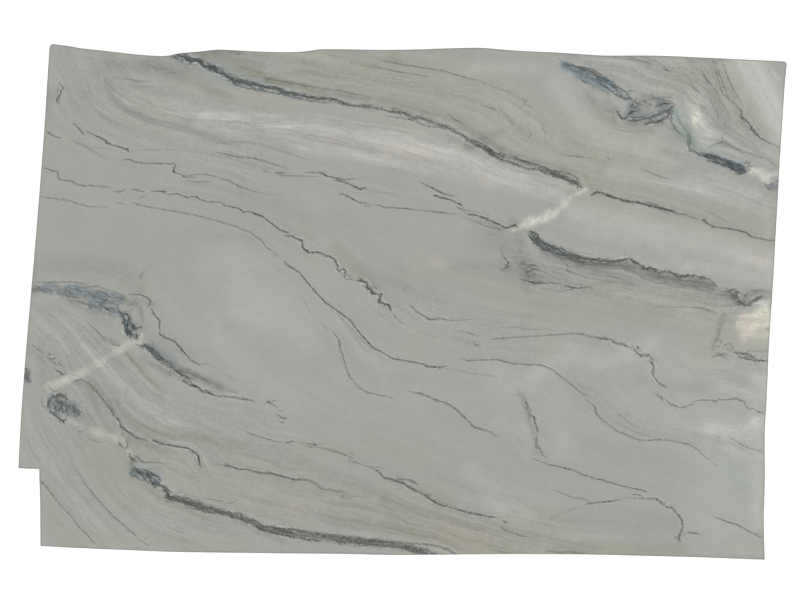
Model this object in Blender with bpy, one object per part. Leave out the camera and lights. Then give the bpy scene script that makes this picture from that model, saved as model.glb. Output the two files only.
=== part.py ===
"""A raw quartzite slab as it leaves the saw: one stone, polished on its upper face, lying on its sawn back.

Metres, +Z up. The origin is the middle of the slab's box, on the face that it rests on. +X runs along
the slab's length and the polished face looks to +Z. The outline is the quarry block's own: its long and
short sides are broken stone, and only the step at the lower left corner was cut with a saw.
"""

import math

import bmesh
import bpy
from mathutils import Vector, noise

MM = 0.001

# The slab's section.
THICKNESS = 30 * MM
ARRIS = 2.5 * MM  # the edge ground off all round the polished face

# The outline, clockwise from the lower end of the left side, in mm from the middle of the slab.
LEFT_SIDE = (
    (-1461, -632),
    (-1456, -526),
    (-1447, -374),
    (-1432, -184),
    (-1421, -51),
    (-1404, 139),
    (-1385, 367),
    (-1374, 508),
    (-1363, 652),
    (-1354, 796),
    (-1348, 888),
    (-1343, 966),
)
TOP_LEFT_ROUND = {"centre": (-1328, 966), "radius": 15, "turn": (180, 90)}
TOP_SIDE = (
    (-1328, 981),
    (-1262, 972),
    (-1224, 965),
    (-1148, 957),
    (-1072, 948),
    (-996, 940),
    (-913, 935),
    (-882, 938),
    (-856, 945),
    (-806, 950),
    (-749, 955),
    (-700, 960),
    (-616, 956),
    (-502, 951),
    (-396, 951),
    (-358, 955),
    (-320, 961),
    (-217, 961),
    (-65, 959),
    (68, 961),
    (182, 965),
    (288, 967),
    (334, 964),
    (448, 955),
    (581, 949),
    (733, 939),
    (797, 937),
    (961, 937),
    (1132, 930),
    (1284, 923),
    (1448, 915),
)
TOP_RIGHT_ROUND = {"centre": (1448, 902), "radius": 13, "turn": (90, 0)}
RIGHT_SIDE = (
    (1461, 902),
    (1454, 842),
    (1444, 690),
    (1434, 538),
    (1426, 386),
    (1417, 234),
    (1411, 120),
    (1399, -70),
    (1392, -184),
    (1384, -374),
    (1377, -496),
    (1377, -678),
    (1373, -838),
    (1377, -980),
)
BOTTOM_SIDE = (
    (1377, -980),
    (1284, -977),
    (1132, -971),
    (904, -965),
    (676, -960),
    (372, -959),
    (-8, -962),
    (-236, -958),
    (-540, -955),
    (-844, -951),
    (-1034, -944),
    (-1224, -936),
    (-1377, -928),
)
STEP_RISER = ((-1377, -928), (-1378, -754), (-1381, -678), (-1381, -635))
STEP_TREAD = ((-1381, -635), (-1461, -632))

# The walls.
STATION_SPACING = 28 * MM  # between the corners of the faceted outline
ROUND_STEPS = 5  # facets in a worn corner
WALL_LEVELS = (0.64, 0.32, 0.0)  # heights of the broken wall's ledges, as shares of the thickness
BREAK_DEPTH = 3.5 * MM  # how far the broken wall falls back under the arris, at most
BREAK_LENGTH = 95 * MM  # typical length of one hollow in the broken wall

STONE_COLOUR = (0.36, 0.37, 0.34, 1.0)
STONE_ROUGHNESS = 0.16


def clear_scene():
    for obj in list(bpy.data.objects):
        bpy.data.objects.remove(obj)


def curve_point(before, start, end, after, share):
    """A point on the Catmull-Rom curve from start to end."""
    square = share * share
    cube = square * share
    return 0.5 * (
        2 * start
        + (end - before) * share
        + (2 * before - 5 * start + 4 * end - after) * square
        + (3 * start - before - 3 * end + after) * cube
    )


def smooth_side(stations):
    """Points about STATION_SPACING apart on a smooth curve through a side's stations, without its last one."""
    knots = [Vector(station) * MM for station in stations]
    padded = [2 * knots[0] - knots[1], *knots, 2 * knots[-1] - knots[-2]]
    points = []
    for before, start, end, after in zip(padded, padded[1:], padded[2:], padded[3:]):
        steps = max(1, round((end - start).length / STATION_SPACING))
        points += [curve_point(before, start, end, after, i / steps) for i in range(steps)]
    return points


def round_corner(centre, radius, turn):
    """Points on a worn corner's arc, without its last one. The angles in turn are in degrees from +X."""
    start, end = (math.radians(angle) for angle in turn)
    angles = [start + (end - start) * i / ROUND_STEPS for i in range(ROUND_STEPS)]
    return [(Vector(centre) + radius * Vector((math.cos(a), math.sin(a)))) * MM for a in angles]


def slab_outline():
    """(points, broken): the closed outline, centred on the origin, and whether the wall below each point is
    broken stone, 1, or sawn, 0."""
    runs = (
        (smooth_side(LEFT_SIDE), 1),
        (round_corner(**TOP_LEFT_ROUND), 1),
        (smooth_side(TOP_SIDE), 1),
        (round_corner(**TOP_RIGHT_ROUND), 1),
        (smooth_side(RIGHT_SIDE), 1),
        (smooth_side(BOTTOM_SIDE), 1),
        (smooth_side(STEP_RISER), 0),
        (smooth_side(STEP_TREAD), 0),
    )
    points = [point for run, _ in runs for point in run]
    broken = [finish for run, finish in runs for _ in run]
    low = Vector((min(p.x for p in points), min(p.y for p in points)))
    high = Vector((max(p.x for p in points), max(p.y for p in points)))
    middle = (low + high) / 2
    return [point - middle for point in points], broken


def inward(points):
    """For each point of the clockwise outline, how far it moves when both of its edges move in by 1."""
    moves = []
    for i, point in enumerate(points):
        into = (point - points[i - 1]).normalized()
        out_of = (points[(i + 1) % len(points)] - point).normalized()
        normals = Vector((into.y, -into.x)), Vector((out_of.y, -out_of.x))
        middle = (normals[0] + normals[1]).normalized()
        moves.append(middle / middle.dot(normals[0]))
    return moves


def break_recess(point, level):
    """How far the broken wall lies back at this height, from 0 to BREAK_DEPTH."""
    place = Vector((point.x, point.y, level * THICKNESS * 3)) / BREAK_LENGTH
    relief = 0.5 + 0.5 * noise.noise(place) + 0.35 * noise.noise(place * 3.1)
    return BREAK_DEPTH * min(1.0, max(0.0, relief))


def wall_rings(points, broken):
    """The outline at each height, from the polished face down, as lists of 3-D points."""
    moves = inward(points)
    face = [(p + m * ARRIS).to_3d() + Vector((0, 0, THICKNESS)) for p, m in zip(points, moves)]
    edge = [p.to_3d() + Vector((0, 0, THICKNESS - ARRIS)) for p in points]
    rings = [face, edge]
    for level in WALL_LEVELS:
        height = Vector((0, 0, level * THICKNESS))
        rings.append(
            [
                (p + m * rough * break_recess(p, level)).to_3d() + height
                for p, m, rough in zip(points, moves, broken)
            ]
        )
    return rings


def stone_material():
    material = bpy.data.materials.new("polished_quartzite")
    material.use_nodes = True
    shader = material.node_tree.nodes["Principled BSDF"]
    shader.inputs["Base Color"].default_value = STONE_COLOUR
    shader.inputs["Roughness"].default_value = STONE_ROUGHNESS
    shader.inputs["Metallic"].default_value = 0.0
    return material


def make_slab():
    """The whole stone as one closed solid: two flat faces, an arris and a faceted wall."""
    points, broken = slab_outline()
    mesh = bpy.data.meshes.new("slab")
    shape = bmesh.new()
    rings = [[shape.verts.new(p) for p in ring] for ring in wall_rings(points, broken)]
    count = len(points)
    for upper, lower in zip(rings, rings[1:]):
        for i in range(count):
            after = (i + 1) % count
            shape.faces.new((upper[i], upper[after], lower[after], lower[i]))
    shape.faces.new(rings[0][::-1])
    shape.faces.new(rings[-1])
    bmesh.ops.triangulate(shape, faces=shape.faces[:])
    bmesh.ops.recalc_face_normals(shape, faces=shape.faces[:])
    shape.to_mesh(mesh)
    shape.free()
    mesh.materials.append(stone_material())
    slab = bpy.data.objects.new("slab", mesh)
    bpy.context.scene.collection.objects.link(slab)
    return slab


clear_scene()
make_slab()
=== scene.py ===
"""The looks of a polished quartzite slab that lies on its sawn back.

One closed stone: a polished upper face, an arris ground all round it, broken sides and a sawn step and back.
The veins are laid along routes, and the stone's bedding is a field that flows with them. Both run through the
thickness.
"""

import math
from functools import partial, reduce

import bpy
import numpy as np
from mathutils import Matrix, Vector
from mathutils.geometry import delaunay_2d_cdt


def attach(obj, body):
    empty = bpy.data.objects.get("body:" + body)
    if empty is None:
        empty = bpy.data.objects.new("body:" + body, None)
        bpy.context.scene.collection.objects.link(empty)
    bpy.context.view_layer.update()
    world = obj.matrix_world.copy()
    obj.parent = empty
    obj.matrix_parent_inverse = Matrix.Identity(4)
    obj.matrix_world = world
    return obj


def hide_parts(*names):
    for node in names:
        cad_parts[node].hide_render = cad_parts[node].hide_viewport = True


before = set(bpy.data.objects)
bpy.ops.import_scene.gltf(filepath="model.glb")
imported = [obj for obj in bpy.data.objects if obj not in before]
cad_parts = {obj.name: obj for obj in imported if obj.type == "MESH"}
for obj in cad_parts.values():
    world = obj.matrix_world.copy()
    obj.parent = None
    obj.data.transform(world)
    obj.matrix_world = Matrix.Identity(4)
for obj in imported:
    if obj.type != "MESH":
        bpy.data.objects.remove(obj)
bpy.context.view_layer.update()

MM = 0.001

# The slab's section.
THICKNESS = 30 * MM
ARRIS = 2.5 * MM

# The face was surveyed on squares of one cell, with columns counted to +X and rows to -Y.
CELL = 3.8 * MM
CELL_MM = CELL / MM
MIDDLE = (402.15, 301.35)  # the slab's middle
SURVEY = (805, 604)  # columns and rows
VEIN_LEAN = (0.5, -0.9)  # how far the veins move in plan for each unit of depth

# Each vein: width in mm, ink from 0 to 1, roughness of its course in mm, and its stations. A third figure at
# a station scales width and ink there.
VEINS = (
    # The heavy vein from the upper side to the quartz seam: its main strand, then its side strands.
    (9.5, 0.97, 3.0, ((176, 53, 0.7), (190, 60), (197, 59), (203, 64), (208, 66), (213, 66), (217, 70),
     (224, 72), (234, 80, 1.3), (250, 82, 1.2), (270, 88), (276, 87), (285, 92), (292, 92), (310, 97, 0.9),
     (336, 99), (338, 101), (350, 105, 0.7), (370, 106, 0.7), (395, 112, 0.75), (402, 112, 0.8),
     (415, 118, 0.8), (420, 117, 0.7), (426, 120, 0.7), (432, 121, 0.7), (445, 126, 0.7), (449, 129, 0.75),
     (463, 135, 0.8), (466, 139, 0.8), (475, 144, 0.7), (484, 149, 1.2), (488, 149, 1.3), (490, 152, 1.2),
     (501, 160), (506, 161, 0.7), (516, 164, 0.9), (524, 168, 0.7), (537, 169, 0.6), (558, 176), (576, 183),
     (578, 185, 0.8), (577, 188, 0.6))),
    (8.0, 0.95, 1.9, ((178, 54.5, 1.4), (192, 61), (199.5, 59.5), (202, 65), (205, 66.7), (207, 65),
     (209, 68), (212.5, 68.5), (214.5, 66.5), (216, 70), (227, 76, 1.4), (231, 80, 1.4), (235, 82, 1.3),
     (240, 81, 1.2), (245, 82, 1.2), (248, 85), (252, 84), (263, 86), (265, 87.5, 0.8))),
    (16.0, 0.9, 2.5, ((176, 52), (184, 55), (192, 60, 0.6))),
    (4.5, 0.5, 1.8, ((192, 58), (210, 63), (216, 67), (222, 69))),
    (5.0, 0.7, 2.5, ((232, 82), (237, 85), (248, 88), (282, 94), (312, 101))),
    (5.0, 0.45, 2.0, ((298, 97), (320, 102), (331, 102))),
    (4.5, 0.62, 2.0, ((384, 115), (410, 119), (428, 126), (440, 127), (446, 129))),
    (4.5, 0.35, 2.5, ((440, 123), (445, 124), (456, 129))),
    (4.5, 0.55, 2.5, ((465, 144), (474, 148))),
    (5.0, 0.35, 3.0, ((472, 139), (489, 147), (492, 150))),
    (4.5, 0.6, 2.5, ((499, 152), (516, 157), (520, 160), (540, 165), (551, 170), (563, 171), (576, 177),
     (578, 181))),
    (15.0, 0.75, 3.2, ((470, 139, 0.5), (482, 145, 0.8), (492, 152, 0.8), (560, 174, 0.9), (572, 180, 0.8))),
    (13.0, 0.85, 2.8, ((573, 180, 0.8), (582, 187, 0.8))),
    (4.0, 0.6, 1.0, ((501, 159), (504, 152))),
    # Faint lines in the dark bedding above it.
    (4.0, 0.4, 2.0, ((265, 78), (320, 88), (340, 90), (370, 97))),
    (3.6, 0.3, 1.5, ((325, 52), (335, 56))),
    (4.0, 0.45, 1.5, ((378, 59), (407, 65), (442, 70), (456, 74.5, 1.3), (477, 80))),
    (4.5, 0.3, 3.0, ((479, 80), (485, 83), (489, 83.5, 0.7), (493, 86), (497, 88, 0.8), (507, 91, 1.2),
     (514, 95, 0.7), (526, 101, 1.2), (524, 104), (533, 107))),
    (3.8, 0.33, 1.5, ((350, 60), (370, 64), (390, 70, 1.3), (397, 71), (428, 77))),
    (4.0, 0.35, 2.5, ((497, 103, 0.6), (500, 107), (511, 120), (513, 125))),
    (4.5, 0.3, 2.0, ((447, 113), (453, 118), (464, 124))),
    (4.0, 0.3, 2.0, ((527, 125), (530, 133), (527, 141))),
    (4.0, 0.3, 2.0, ((541, 119), (545, 138))),
    (3.6, 0.33, 1.5, ((560, 153), (567, 155), (583, 156))),
    # Upper left.
    (5.0, 0.7, 1.6, ((58.6, 82), (63, 88), (60.5, 90), (60.3, 94), (55.7, 99), (57.7, 104))),
    (3.6, 0.4, 1.2, ((58, 86), (57, 91), (59, 96), (58.5, 101))),
    (4.5, 0.65, 1.5, ((44.6, 131), (50, 133), (54, 136), (61, 137.5))),
    (6.0, 0.85, 1.5, ((73, 122.4), (83, 133.6))),
    (6.4, 0.8, 2.2, ((87, 131), (104.5, 139.6), (106.4, 142.6), (127.5, 149.2), (128.8, 151.7))),
    (4.2, 0.7, 1.5, ((121.7, 159.7), (128.8, 158.8), (135, 161.3), (143.4, 162.6), (175, 163.5),
     (172.8, 171.5, 1.2), (181, 174), (183, 176.2), (198, 177, 0.6))),
    (3.8, 0.45, 1.0, ((185, 180), (197, 181.5), (212, 181))),
    (3.8, 0.5, 1.2, ((183, 176), (198, 173.5), (206, 174), (219, 177))),
    (4.0, 0.4, 1.5, ((114, 77.5), (129.4, 78.8), (136.4, 80.6), (151, 81, 0.5))),
    # The long rough vein from the left side, in its pieces.
    (5.0, 0.6, 2.5, ((44.6, 167.7), (57.3, 171.5), (57.7, 177.2), (60.5, 179.5), (72, 181), (75.8, 183.9),
     (81, 184.9), (104, 186, 0.8), (110, 186.8, 1.2))),
    (4.6, 0.75, 1.5, ((112, 190.5), (118, 191.5, 0.7), (125, 189))),
    (4.6, 0.75, 1.5, ((131, 188.5), (143, 191))),
    (4.4, 0.75, 1.0, ((151, 190.5), (165, 191, 1.2), (163, 193.5))),
    (4.8, 0.8, 1.5, ((167, 194), (177, 193.5), (187, 197), (192, 196, 0.8), (197, 197), (199, 199),
     (207, 201, 0.9), (222, 202, 0.7), (224, 205, 0.7), (239, 208), (243, 212), (247, 211), (252, 212),
     (262, 216, 1.1), (279, 229, 1.1), (287, 232), (288, 233, 0.7))),
    (3.8, 0.4, 1.0, ((138, 198.5), (144.5, 194.5))),
    (6.0, 0.88, 2.4, ((284, 235), (293, 236), (301, 240, 1.3), (302, 246, 1.1), (306, 250, 1.3), (309, 252),
     (318, 252, 0.9), (333, 258), (338, 266, 1.2), (336, 268), (338, 270), (343, 269), (345, 270, 1.2),
     (344, 278))),
    (3.6, 0.45, 1.5, ((346, 274), (354, 277))),
    (4.4, 0.7, 1.0, ((346, 279), (352, 279))),
    (7.4, 0.88, 3.0, ((356, 280), (360, 280, 1.2), (367, 283, 1.1), (366, 286, 1.2), (373, 293),
     (381, 294, 1.1), (378, 300, 1.4), (379, 302, 1.2), (387, 305), (390, 308, 1.1), (391, 311))),
    (4.0, 0.5, 1.5, ((368, 286), (373, 286), (377, 289))),
    (4.2, 0.5, 2.0, ((392, 312.5), (395, 317), (403, 324, 0.6))),
    # The second long vein, soft at first.
    (6.5, 0.36, 1.0, ((40, 196, 1.2), (70, 200.5), (87, 206), (108, 206.5, 0.8))),
    (5.5, 0.45, 1.5, ((117, 202), (126, 204.5))),
    (5.6, 0.42, 1.2, ((131, 202), (145, 206), (190, 213.5), (230, 224), (250, 232), (261, 240), (265, 246),
     (276, 253.5, 0.8))),
    (4.0, 0.35, 1.0, ((271, 253), (277, 254.5), (280, 257))),
    (5.2, 0.72, 1.2, ((283, 260, 0.8), (288, 265), (299, 272), (310, 286, 1.1), (325, 302), (349, 319),
     (361, 335, 1.1), (375, 349, 1.2), (379, 350), (392, 358, 1.1), (404, 360, 0.8), (420, 363),
     (424, 364, 1.1), (425, 366), (440, 367, 1.1), (447, 365, 0.6))),
    (4.0, 0.25, 1.0, ((343, 322), (363, 348), (370, 353))),
    (4.2, 0.22, 1.0, ((300, 292), (310, 312))),
    (4.0, 0.35, 1.0, ((338, 270), (343, 274), (356, 281))),
    (3.6, 0.3, 1.0, ((330, 308), (348, 325), (366, 345), (376, 352))),
    (4.6, 0.55, 1.0, ((461, 359), (466, 360), (496, 359), (512, 363), (542, 365), (552, 369, 1.1), (582, 393),
     (587, 395))),
    (3.6, 0.4, 1.0, ((574, 380), (584, 389))),
    (5.5, 0.46, 1.5, ((585, 399), (593, 405), (595, 408), (596, 413, 1.1), (599, 417), (616, 430, 0.9),
     (637, 439), (645, 440), (660, 439), (676, 441, 0.8), (682, 443), (687, 443, 1.1), (697, 449, 0.8),
     (706, 458, 0.7), (712, 461, 0.6), (714, 464, 0.6), (720, 465, 0.4))),
    (3.8, 0.35, 1.0, ((612, 412), (620, 415), (632, 424))),
    (3.6, 0.3, 1.0, ((614, 421), (632, 431), (650, 436))),
    # The middle.
    (4.6, 0.65, 1.5, ((221, 178), (228, 180), (239, 186), (250, 190, 0.6), (270, 194, 0.3), (284, 195, 0.2))),
    (4.8, 0.6, 1.6, ((217, 152), (235, 156), (255, 158), (287, 168))),
    (5.0, 0.6, 1.5, ((263, 170), (268, 172))),
    (6.0, 0.8, 1.8, ((275, 172.5), (284, 172.5))),
    (5.4, 0.8, 1.6, ((277, 175), (318, 176, 0.5))),
    (4.6, 0.7, 1.2, ((303, 172, 0.8), (318, 172), (323, 173, 1.3), (327, 176, 1.3), (344, 179),
     (360, 178, 0.3))),
    (5.0, 0.8, 1.2, ((333, 179.5, 0.6), (338, 180), (350, 184), (360, 189, 1.3), (363, 187),
     (367, 188, 0.7))),
    (4.4, 0.2, 1.5, ((366, 190), (388, 193), (395, 195))),
    (4.8, 0.8, 1.2, ((339, 194.5), (342, 193), (359, 202), (371, 204, 0.6))),
    (3.6, 0.4, 1.0, ((364, 205.5), (371, 206))),
    (4.2, 0.62, 1.0, ((374, 204), (386, 207), (406, 208), (413, 209, 0.7), (440, 212, 1.1), (460, 214, 0.3))),
    (4.6, 0.82, 1.2, ((420, 182), (444, 193.5), (456, 196, 0.6))),
    (4.8, 0.85, 1.2, ((433, 195), (436, 195, 1.3), (440, 197), (452, 200), (460, 204), (462, 206, 0.6))),
    (4.2, 0.65, 1.2, ((456, 206), (459, 208, 1.1), (463, 209.5, 0.7), (480, 212, 0.25))),
    (5.4, 0.9, 1.0, ((467, 214, 0.5), (470, 214), (477, 215, 1.1), (497, 223), (505, 227.5),
     (515, 224.5, 1.2), (517, 227, 0.8))),
    (6, 0.4, 1.5, ((470, 220), (490, 227), (500, 229))),
    (5.2, 0.8, 1.4, ((500, 251, 0.5), (508, 263), (507, 266), (499, 271, 0.7))),
    (4.0, 0.6, 1.5, ((524, 264, 0.6), (531, 264), (538, 266))),
    (6.5, 0.6, 2.5, ((526, 273), (531, 269.5), (538, 269, 0.7))),
    (7.0, 0.9, 2.5, ((519, 279, 0.6), (535, 283, 1.2), (542, 282, 0.6), (562, 283, 0.4))),
    (6.5, 0.7, 2.5, ((564, 285), (576, 288), (592, 286, 0.5))),
    # The heavy vein on the right: its upper and lower strands, and the lines in the grey stone under it.
    (8.0, 0.97, 3.0, ((529, 231, 0.8), (534, 232), (537, 235, 1.2), (538, 239, 1.2), (541, 241, 1.1),
     (566, 254), (590, 259), (613, 261, 0.9), (628, 258, 0.9), (645, 268), (654, 268), (655, 271),
     (657, 272, 0.8), (669, 271, 0.8), (677, 276, 0.9), (694, 275, 0.9), (709, 279, 0.9))),
    (6.5, 0.75, 3.0, ((530, 236), (533, 242), (543, 249, 1.1), (555, 251, 1.2), (560, 254, 1.1),
     (573, 257, 0.6))),
    (8.5, 0.85, 3.0, ((532, 235, 0.8), (537, 242, 1.2), (545, 248, 1.2), (554, 250, 0.7))),
    (6.0, 0.5, 3.0, ((708, 279), (713, 282), (719, 289, 0.8))),
    (8.0, 0.7, 3.0, ((723, 291), (733, 289.5), (737, 291), (736, 294), (738, 298, 0.9))),
    (8.5, 0.75, 3.0, ((735, 295, 0.8), (740, 302), (747, 305), (761, 296, 0.8), (765, 297, 0.5))),
    (4.6, 0.45, 2.5, ((738, 296), (742, 299), (748, 292), (754, 290), (762, 290, 0.7), (768, 292, 0.4))),
    (3.8, 0.4, 1.4, ((731, 291), (735, 297), (740, 301), (748, 302), (764, 294))),
    (3.8, 0.35, 1.4, ((737, 290), (742, 295), (749, 295.5), (755, 291), (764, 289))),
    (3.8, 0.5, 1.2, ((714, 352), (719, 354.5), (724, 352.5), (729, 356))),
    (3.8, 0.5, 1.2, ((732, 349.5), (737, 353), (742, 351.5))),
    (3.6, 0.4, 1.0, ((722, 347), (727, 348.5), (731, 347))),
    (4.0, 0.3, 2.5, ((722, 306), (728, 304), (732, 309))),
    (4.4, 0.4, 1.5, ((656, 306), (690, 307, 0.9))),
    (4.4, 0.5, 1.2, ((691, 307), (698, 307), (713, 311), (716, 313, 0.5))),
    (4.0, 0.25, 2.0, ((553, 257), (570, 259, 0.6))),
    (4.0, 0.4, 2.5, ((564, 262), (568, 266), (567, 270), (574, 271))),
    (4.0, 0.4, 2.5, ((605, 274), (620, 278))),
    (8, 0.3, 2.5, ((640, 277), (656, 282), (664, 282), (672, 286), (680, 287))),
    (4.4, 0.4, 2.5, ((690, 284), (702, 290))),
    (3.8, 0.3, 2.0, ((540, 287), (552, 290), (562, 291), (575, 288))),
    (5, 0.25, 2.0, ((592, 281), (604, 283), (616, 281), (640, 286))),
    # The vein from the quartz seam to the right side.
    (7.2, 0.95, 1.0, ((590, 195), (596, 191.5), (600, 192), (616, 198), (619, 198), (622, 200, 1.1),
     (637, 202, 1.2), (670, 210, 1.1), (678, 213.5, 0.7), (684, 214, 0.6), (697, 219, 0.4))),
    (4.4, 0.75, 1.5, ((645, 201), (659, 205))),
    (8.0, 0.85, 1.5, ((701, 219, 0.7), (704, 220, 1.1), (709, 224.5, 0.7))),
    (5.6, 0.72, 1.0, ((709, 224), (712, 226), (734, 229), (745, 232), (751, 236), (757, 237.5, 0.8),
     (770, 240, 0.8), (776, 240, 0.8))),
    (3.6, 0.3, 1.5, ((705, 212), (712, 213), (728, 222))),
    (4.0, 0.45, 1.5, ((606, 157), (610, 160))),
    (4.0, 0.32, 1.5, ((640, 168), (662, 177), (670, 179))),
    # The blue pool in the upper right.
    (4.6, 0.35, 2.0, ((556, 53), (557, 57), (563, 62))),
    (9.0, 0.75, 2.8, ((565, 63.5, 0.6), (576, 66.5), (590, 71), (607, 80, 0.9))),
    (4.6, 0.66, 2.0, ((580, 66), (590, 68), (596, 71), (627, 93), (631, 100))),
    (4.4, 0.65, 2.0, ((576, 76, 0.8), (586, 82), (592, 83, 0.7))),
    (7.0, 0.62, 2.5, ((596, 81, 0.7), (602, 84), (617, 95), (628, 99))),
    (6.5, 0.75, 2.0, ((605, 80), (615, 87), (622, 95, 0.8))),
    (5.2, 0.6, 2.0, ((636, 96, 0.8), (631, 105, 1.2), (635, 107), (638, 106, 0.8))),
    (6.0, 0.85, 2.0, ((616, 110), (621, 118), (625, 118, 0.8))),
    (7.5, 0.9, 2.5, ((624, 118), (631, 112), (640, 109, 0.7))),
    (8.0, 0.75, 2.2, ((628, 120), (634, 120.5), (648, 117.5, 0.9), (668, 110), (674, 104))),
    (5.4, 0.75, 2.0, ((673, 103), (663, 103), (655, 106))),
    (7.0, 0.75, 2.5, ((643, 125, 0.8), (650, 122), (656, 122), (665, 118), (670, 111))),
    (6.0, 0.6, 2.0, ((655, 97, 0.7), (673, 102))),
    (6.0, 0.4, 1.5, ((626, 91, 0.8), (630, 90), (635, 91, 0.6))),
    (8.0, 0.5, 1.5, ((652, 94), (653.5, 98))),
    (4.6, 0.7, 2.0, ((628, 116), (634, 117), (642, 116.5, 0.8), (650, 113, 0.6))),
    (3.6, 0.2, 1.5, ((612, 125), (618, 129), (628, 131), (640, 131), (652, 128))),
    (3.6, 0.2, 1.5, ((611, 112), (614, 120), (620, 126), (630, 128))),
    # From the tangle down to the dark blue streak.
    (4.6, 0.42, 1.5, ((676, 115), (683, 127), (687, 131))),
    (8.0, 0.5, 1.5, ((671, 110), (671, 122), (676, 130), (684, 136))),
    (7.5, 0.5, 2.0, ((687, 134), (688, 146, 1.1), (690, 150, 1.2), (703, 155))),
    (5.2, 0.4, 1.5, ((686, 131), (689, 134), (690, 139), (689, 146))),
    (20.0, 0.95, 2.0, ((701, 153, 0.6), (718, 161, 1.1), (736, 167.5, 1.2), (741, 169, 1.1),
     (744, 168.5, 0.7))),
    (6.5, 0.85, 1.5, ((704, 154), (711, 155), (740, 165.5))),
    (5, 0.5, 2.0, ((741, 164), (745, 162), (749, 162), (748, 166), (752, 165.5))),
    (4.2, 0.85, 1.5, ((735, 172.5), (739, 174), (750, 169))),
    (4.6, 0.38, 2.0, ((708, 148, 0.7), (711, 145), (723, 141), (737, 149), (763, 157), (769, 160),
     (777, 168, 0.8))),
    (4.4, 0.45, 2.0, ((721, 136), (722.5, 140))),
    (7.0, 0.75, 2.0, ((764, 182), (768, 189, 0.8))),
    (7.0, 0.7, 2.0, ((769, 185, 0.7), (778, 180))),
    # Upper right corner.
    (3.8, 0.5, 1.4, ((711, 57), (722, 93), (740, 109))),
    (6.6, 0.8, 2.6, ((739, 108), (741, 113), (741, 117), (748, 122, 1.1), (752, 129, 1.2), (760, 137.5, 0.8),
     (768, 142, 0.6), (780, 146.5, 0.5))),
    (4.2, 0.55, 1.0, ((720, 58), (731, 86), (743, 106, 0.7))),
    (4.2, 0.5, 1.0, ((714, 60), (725, 90), (729, 98))),
    (4.6, 0.7, 1.6, ((700, 68, 0.8), (706, 79, 1.1), (717, 92, 0.7))),
    (3.6, 0.25, 1.0, ((708, 60), (714, 77), (719, 100), (729, 113))),
    (4.0, 0.5, 1.0, ((629, 56), (641, 61), (647, 61.5), (657, 66, 0.8))),
    (3.6, 0.35, 1.0, ((640, 56), (656, 61), (662, 65))),
    (5.5, 0.4, 1.5, ((663, 68), (667, 70, 1.2), (671, 72, 0.8))),
    (4.4, 0.4, 1.5, ((688, 84, 0.6), (698, 91))),
    # Lower left: the network beside the blue pool.
    (4.6, 0.7, 1.5, ((127, 294, 0.8), (139, 294), (147, 297, 1.2), (150, 300, 1.1), (148, 307))),
    (4.8, 0.75, 1.2, ((151, 308), (153, 313, 1.1), (159, 320), (159, 334), (174, 341, 1.1), (190, 359),
     (200, 365))),
    (4.0, 0.4, 1.5, ((199, 364), (206, 363), (213, 367))),
    (3.6, 0.25, 1.0, ((219, 371), (237, 381))),
    (5.6, 0.4, 1.0, ((33, 281), (45, 282), (75, 281.5), (85, 283, 1.3))),
    (5.0, 0.25, 1.5, ((31, 288), (45, 291), (52, 290))),
    (5.4, 0.72, 2.0, ((70, 299, 0.8), (85, 303.5), (98, 304.5, 0.6), (104, 307, 1.3), (108, 310, 1.2),
     (116, 313, 0.6))),
    (4.6, 0.55, 2.5, ((55, 291), (70, 296), (84, 297, 0.7))),
    (5.0, 0.5, 2.5, ((100, 300), (106, 299), (118, 304), (117, 308), (122, 315))),
    (4.4, 0.5, 2.0, ((85, 287), (98, 286), (110, 291))),
    (4.4, 0.5, 2.0, ((96, 290), (104, 293), (108, 296), (114, 297))),
    (4.4, 0.5, 2.5, ((112, 290), (126, 298))),
    (4.2, 0.4, 2.0, ((128, 300), (132, 303), (134, 307), (130, 310), (125, 311))),
    (4.4, 0.75, 1.0, ((121, 315), (124, 313.5), (128, 315), (129, 318), (126, 320), (122, 319))),
    (5.4, 0.8, 2.0, ((129, 316), (133, 329))),
    (9.0, 0.95, 2.5, ((122, 321), (125, 325), (125, 330), (128, 333), (136, 335, 0.7))),
    (5.0, 0.8, 2.0, ((127, 331), (139, 327), (144, 326, 0.5))),
    (17.0, 1.0, 3.2, ((136, 334), (136.5, 338))),
    (4.6, 0.75, 1.0, ((136, 344), (141, 345.5), (145, 344))),
    (17.0, 1.0, 3.2, ((141, 344.5, 0.5), (149, 347.5), (154, 353, 1.1), (175, 370, 0.7), (187, 377.5, 0.6),
     (193, 385, 0.5))),
    (7.0, 0.85, 2.5, ((170, 366, 0.7), (179, 373.5), (190, 378, 0.7))),
    (6.0, 0.6, 3.0, ((146, 349), (156, 358), (161, 361, 0.7))),
    (6, 0.95, 2.0, ((182, 380), (191, 385), (196, 386), (201, 390))),
    (18.0, 0.25, 3.0, ((166, 358, 0.6), (180, 368), (208, 381))),
    (8.5, 0.95, 2.0, ((199, 390, 0.6), (207, 392, 1.3), (214, 395, 0.6), (232, 396.5, 0.5), (247, 399.5, 0.7),
     (256, 401, 0.3))),
    (4.6, 0.7, 1.5, ((205, 389), (215, 391.5, 0.7))),
    (9.0, 0.75, 1.5, ((265, 402, 0.5), (268, 402, 1.1), (271, 403, 0.7))),
    (4.2, 0.65, 1.0, ((270, 403), (277, 407))),
    (3.8, 0.5, 1.0, ((271, 400.5), (276, 400))),
    (4.0, 0.45, 1.0, ((278, 409.5), (282, 411))),
    (5.2, 0.75, 1.0, ((276, 414), (283, 418, 1.1), (286, 418))),
    (6.5, 0.65, 1.0, ((280.5, 422), (283, 422.5))),
    # Lower left: soft lines and dashes across the bedding.
    (4.2, 0.5, 1.0, ((85, 320, 0.7), (98, 332), (106, 341.5, 0.7))),
    (4.2, 0.55, 1.0, ((111, 343), (115, 345), (120, 345))),
    (5.0, 0.3, 1.0, ((125, 351, 1.2), (128, 356), (138, 366, 0.5), (152, 384, 0.4))),
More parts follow.
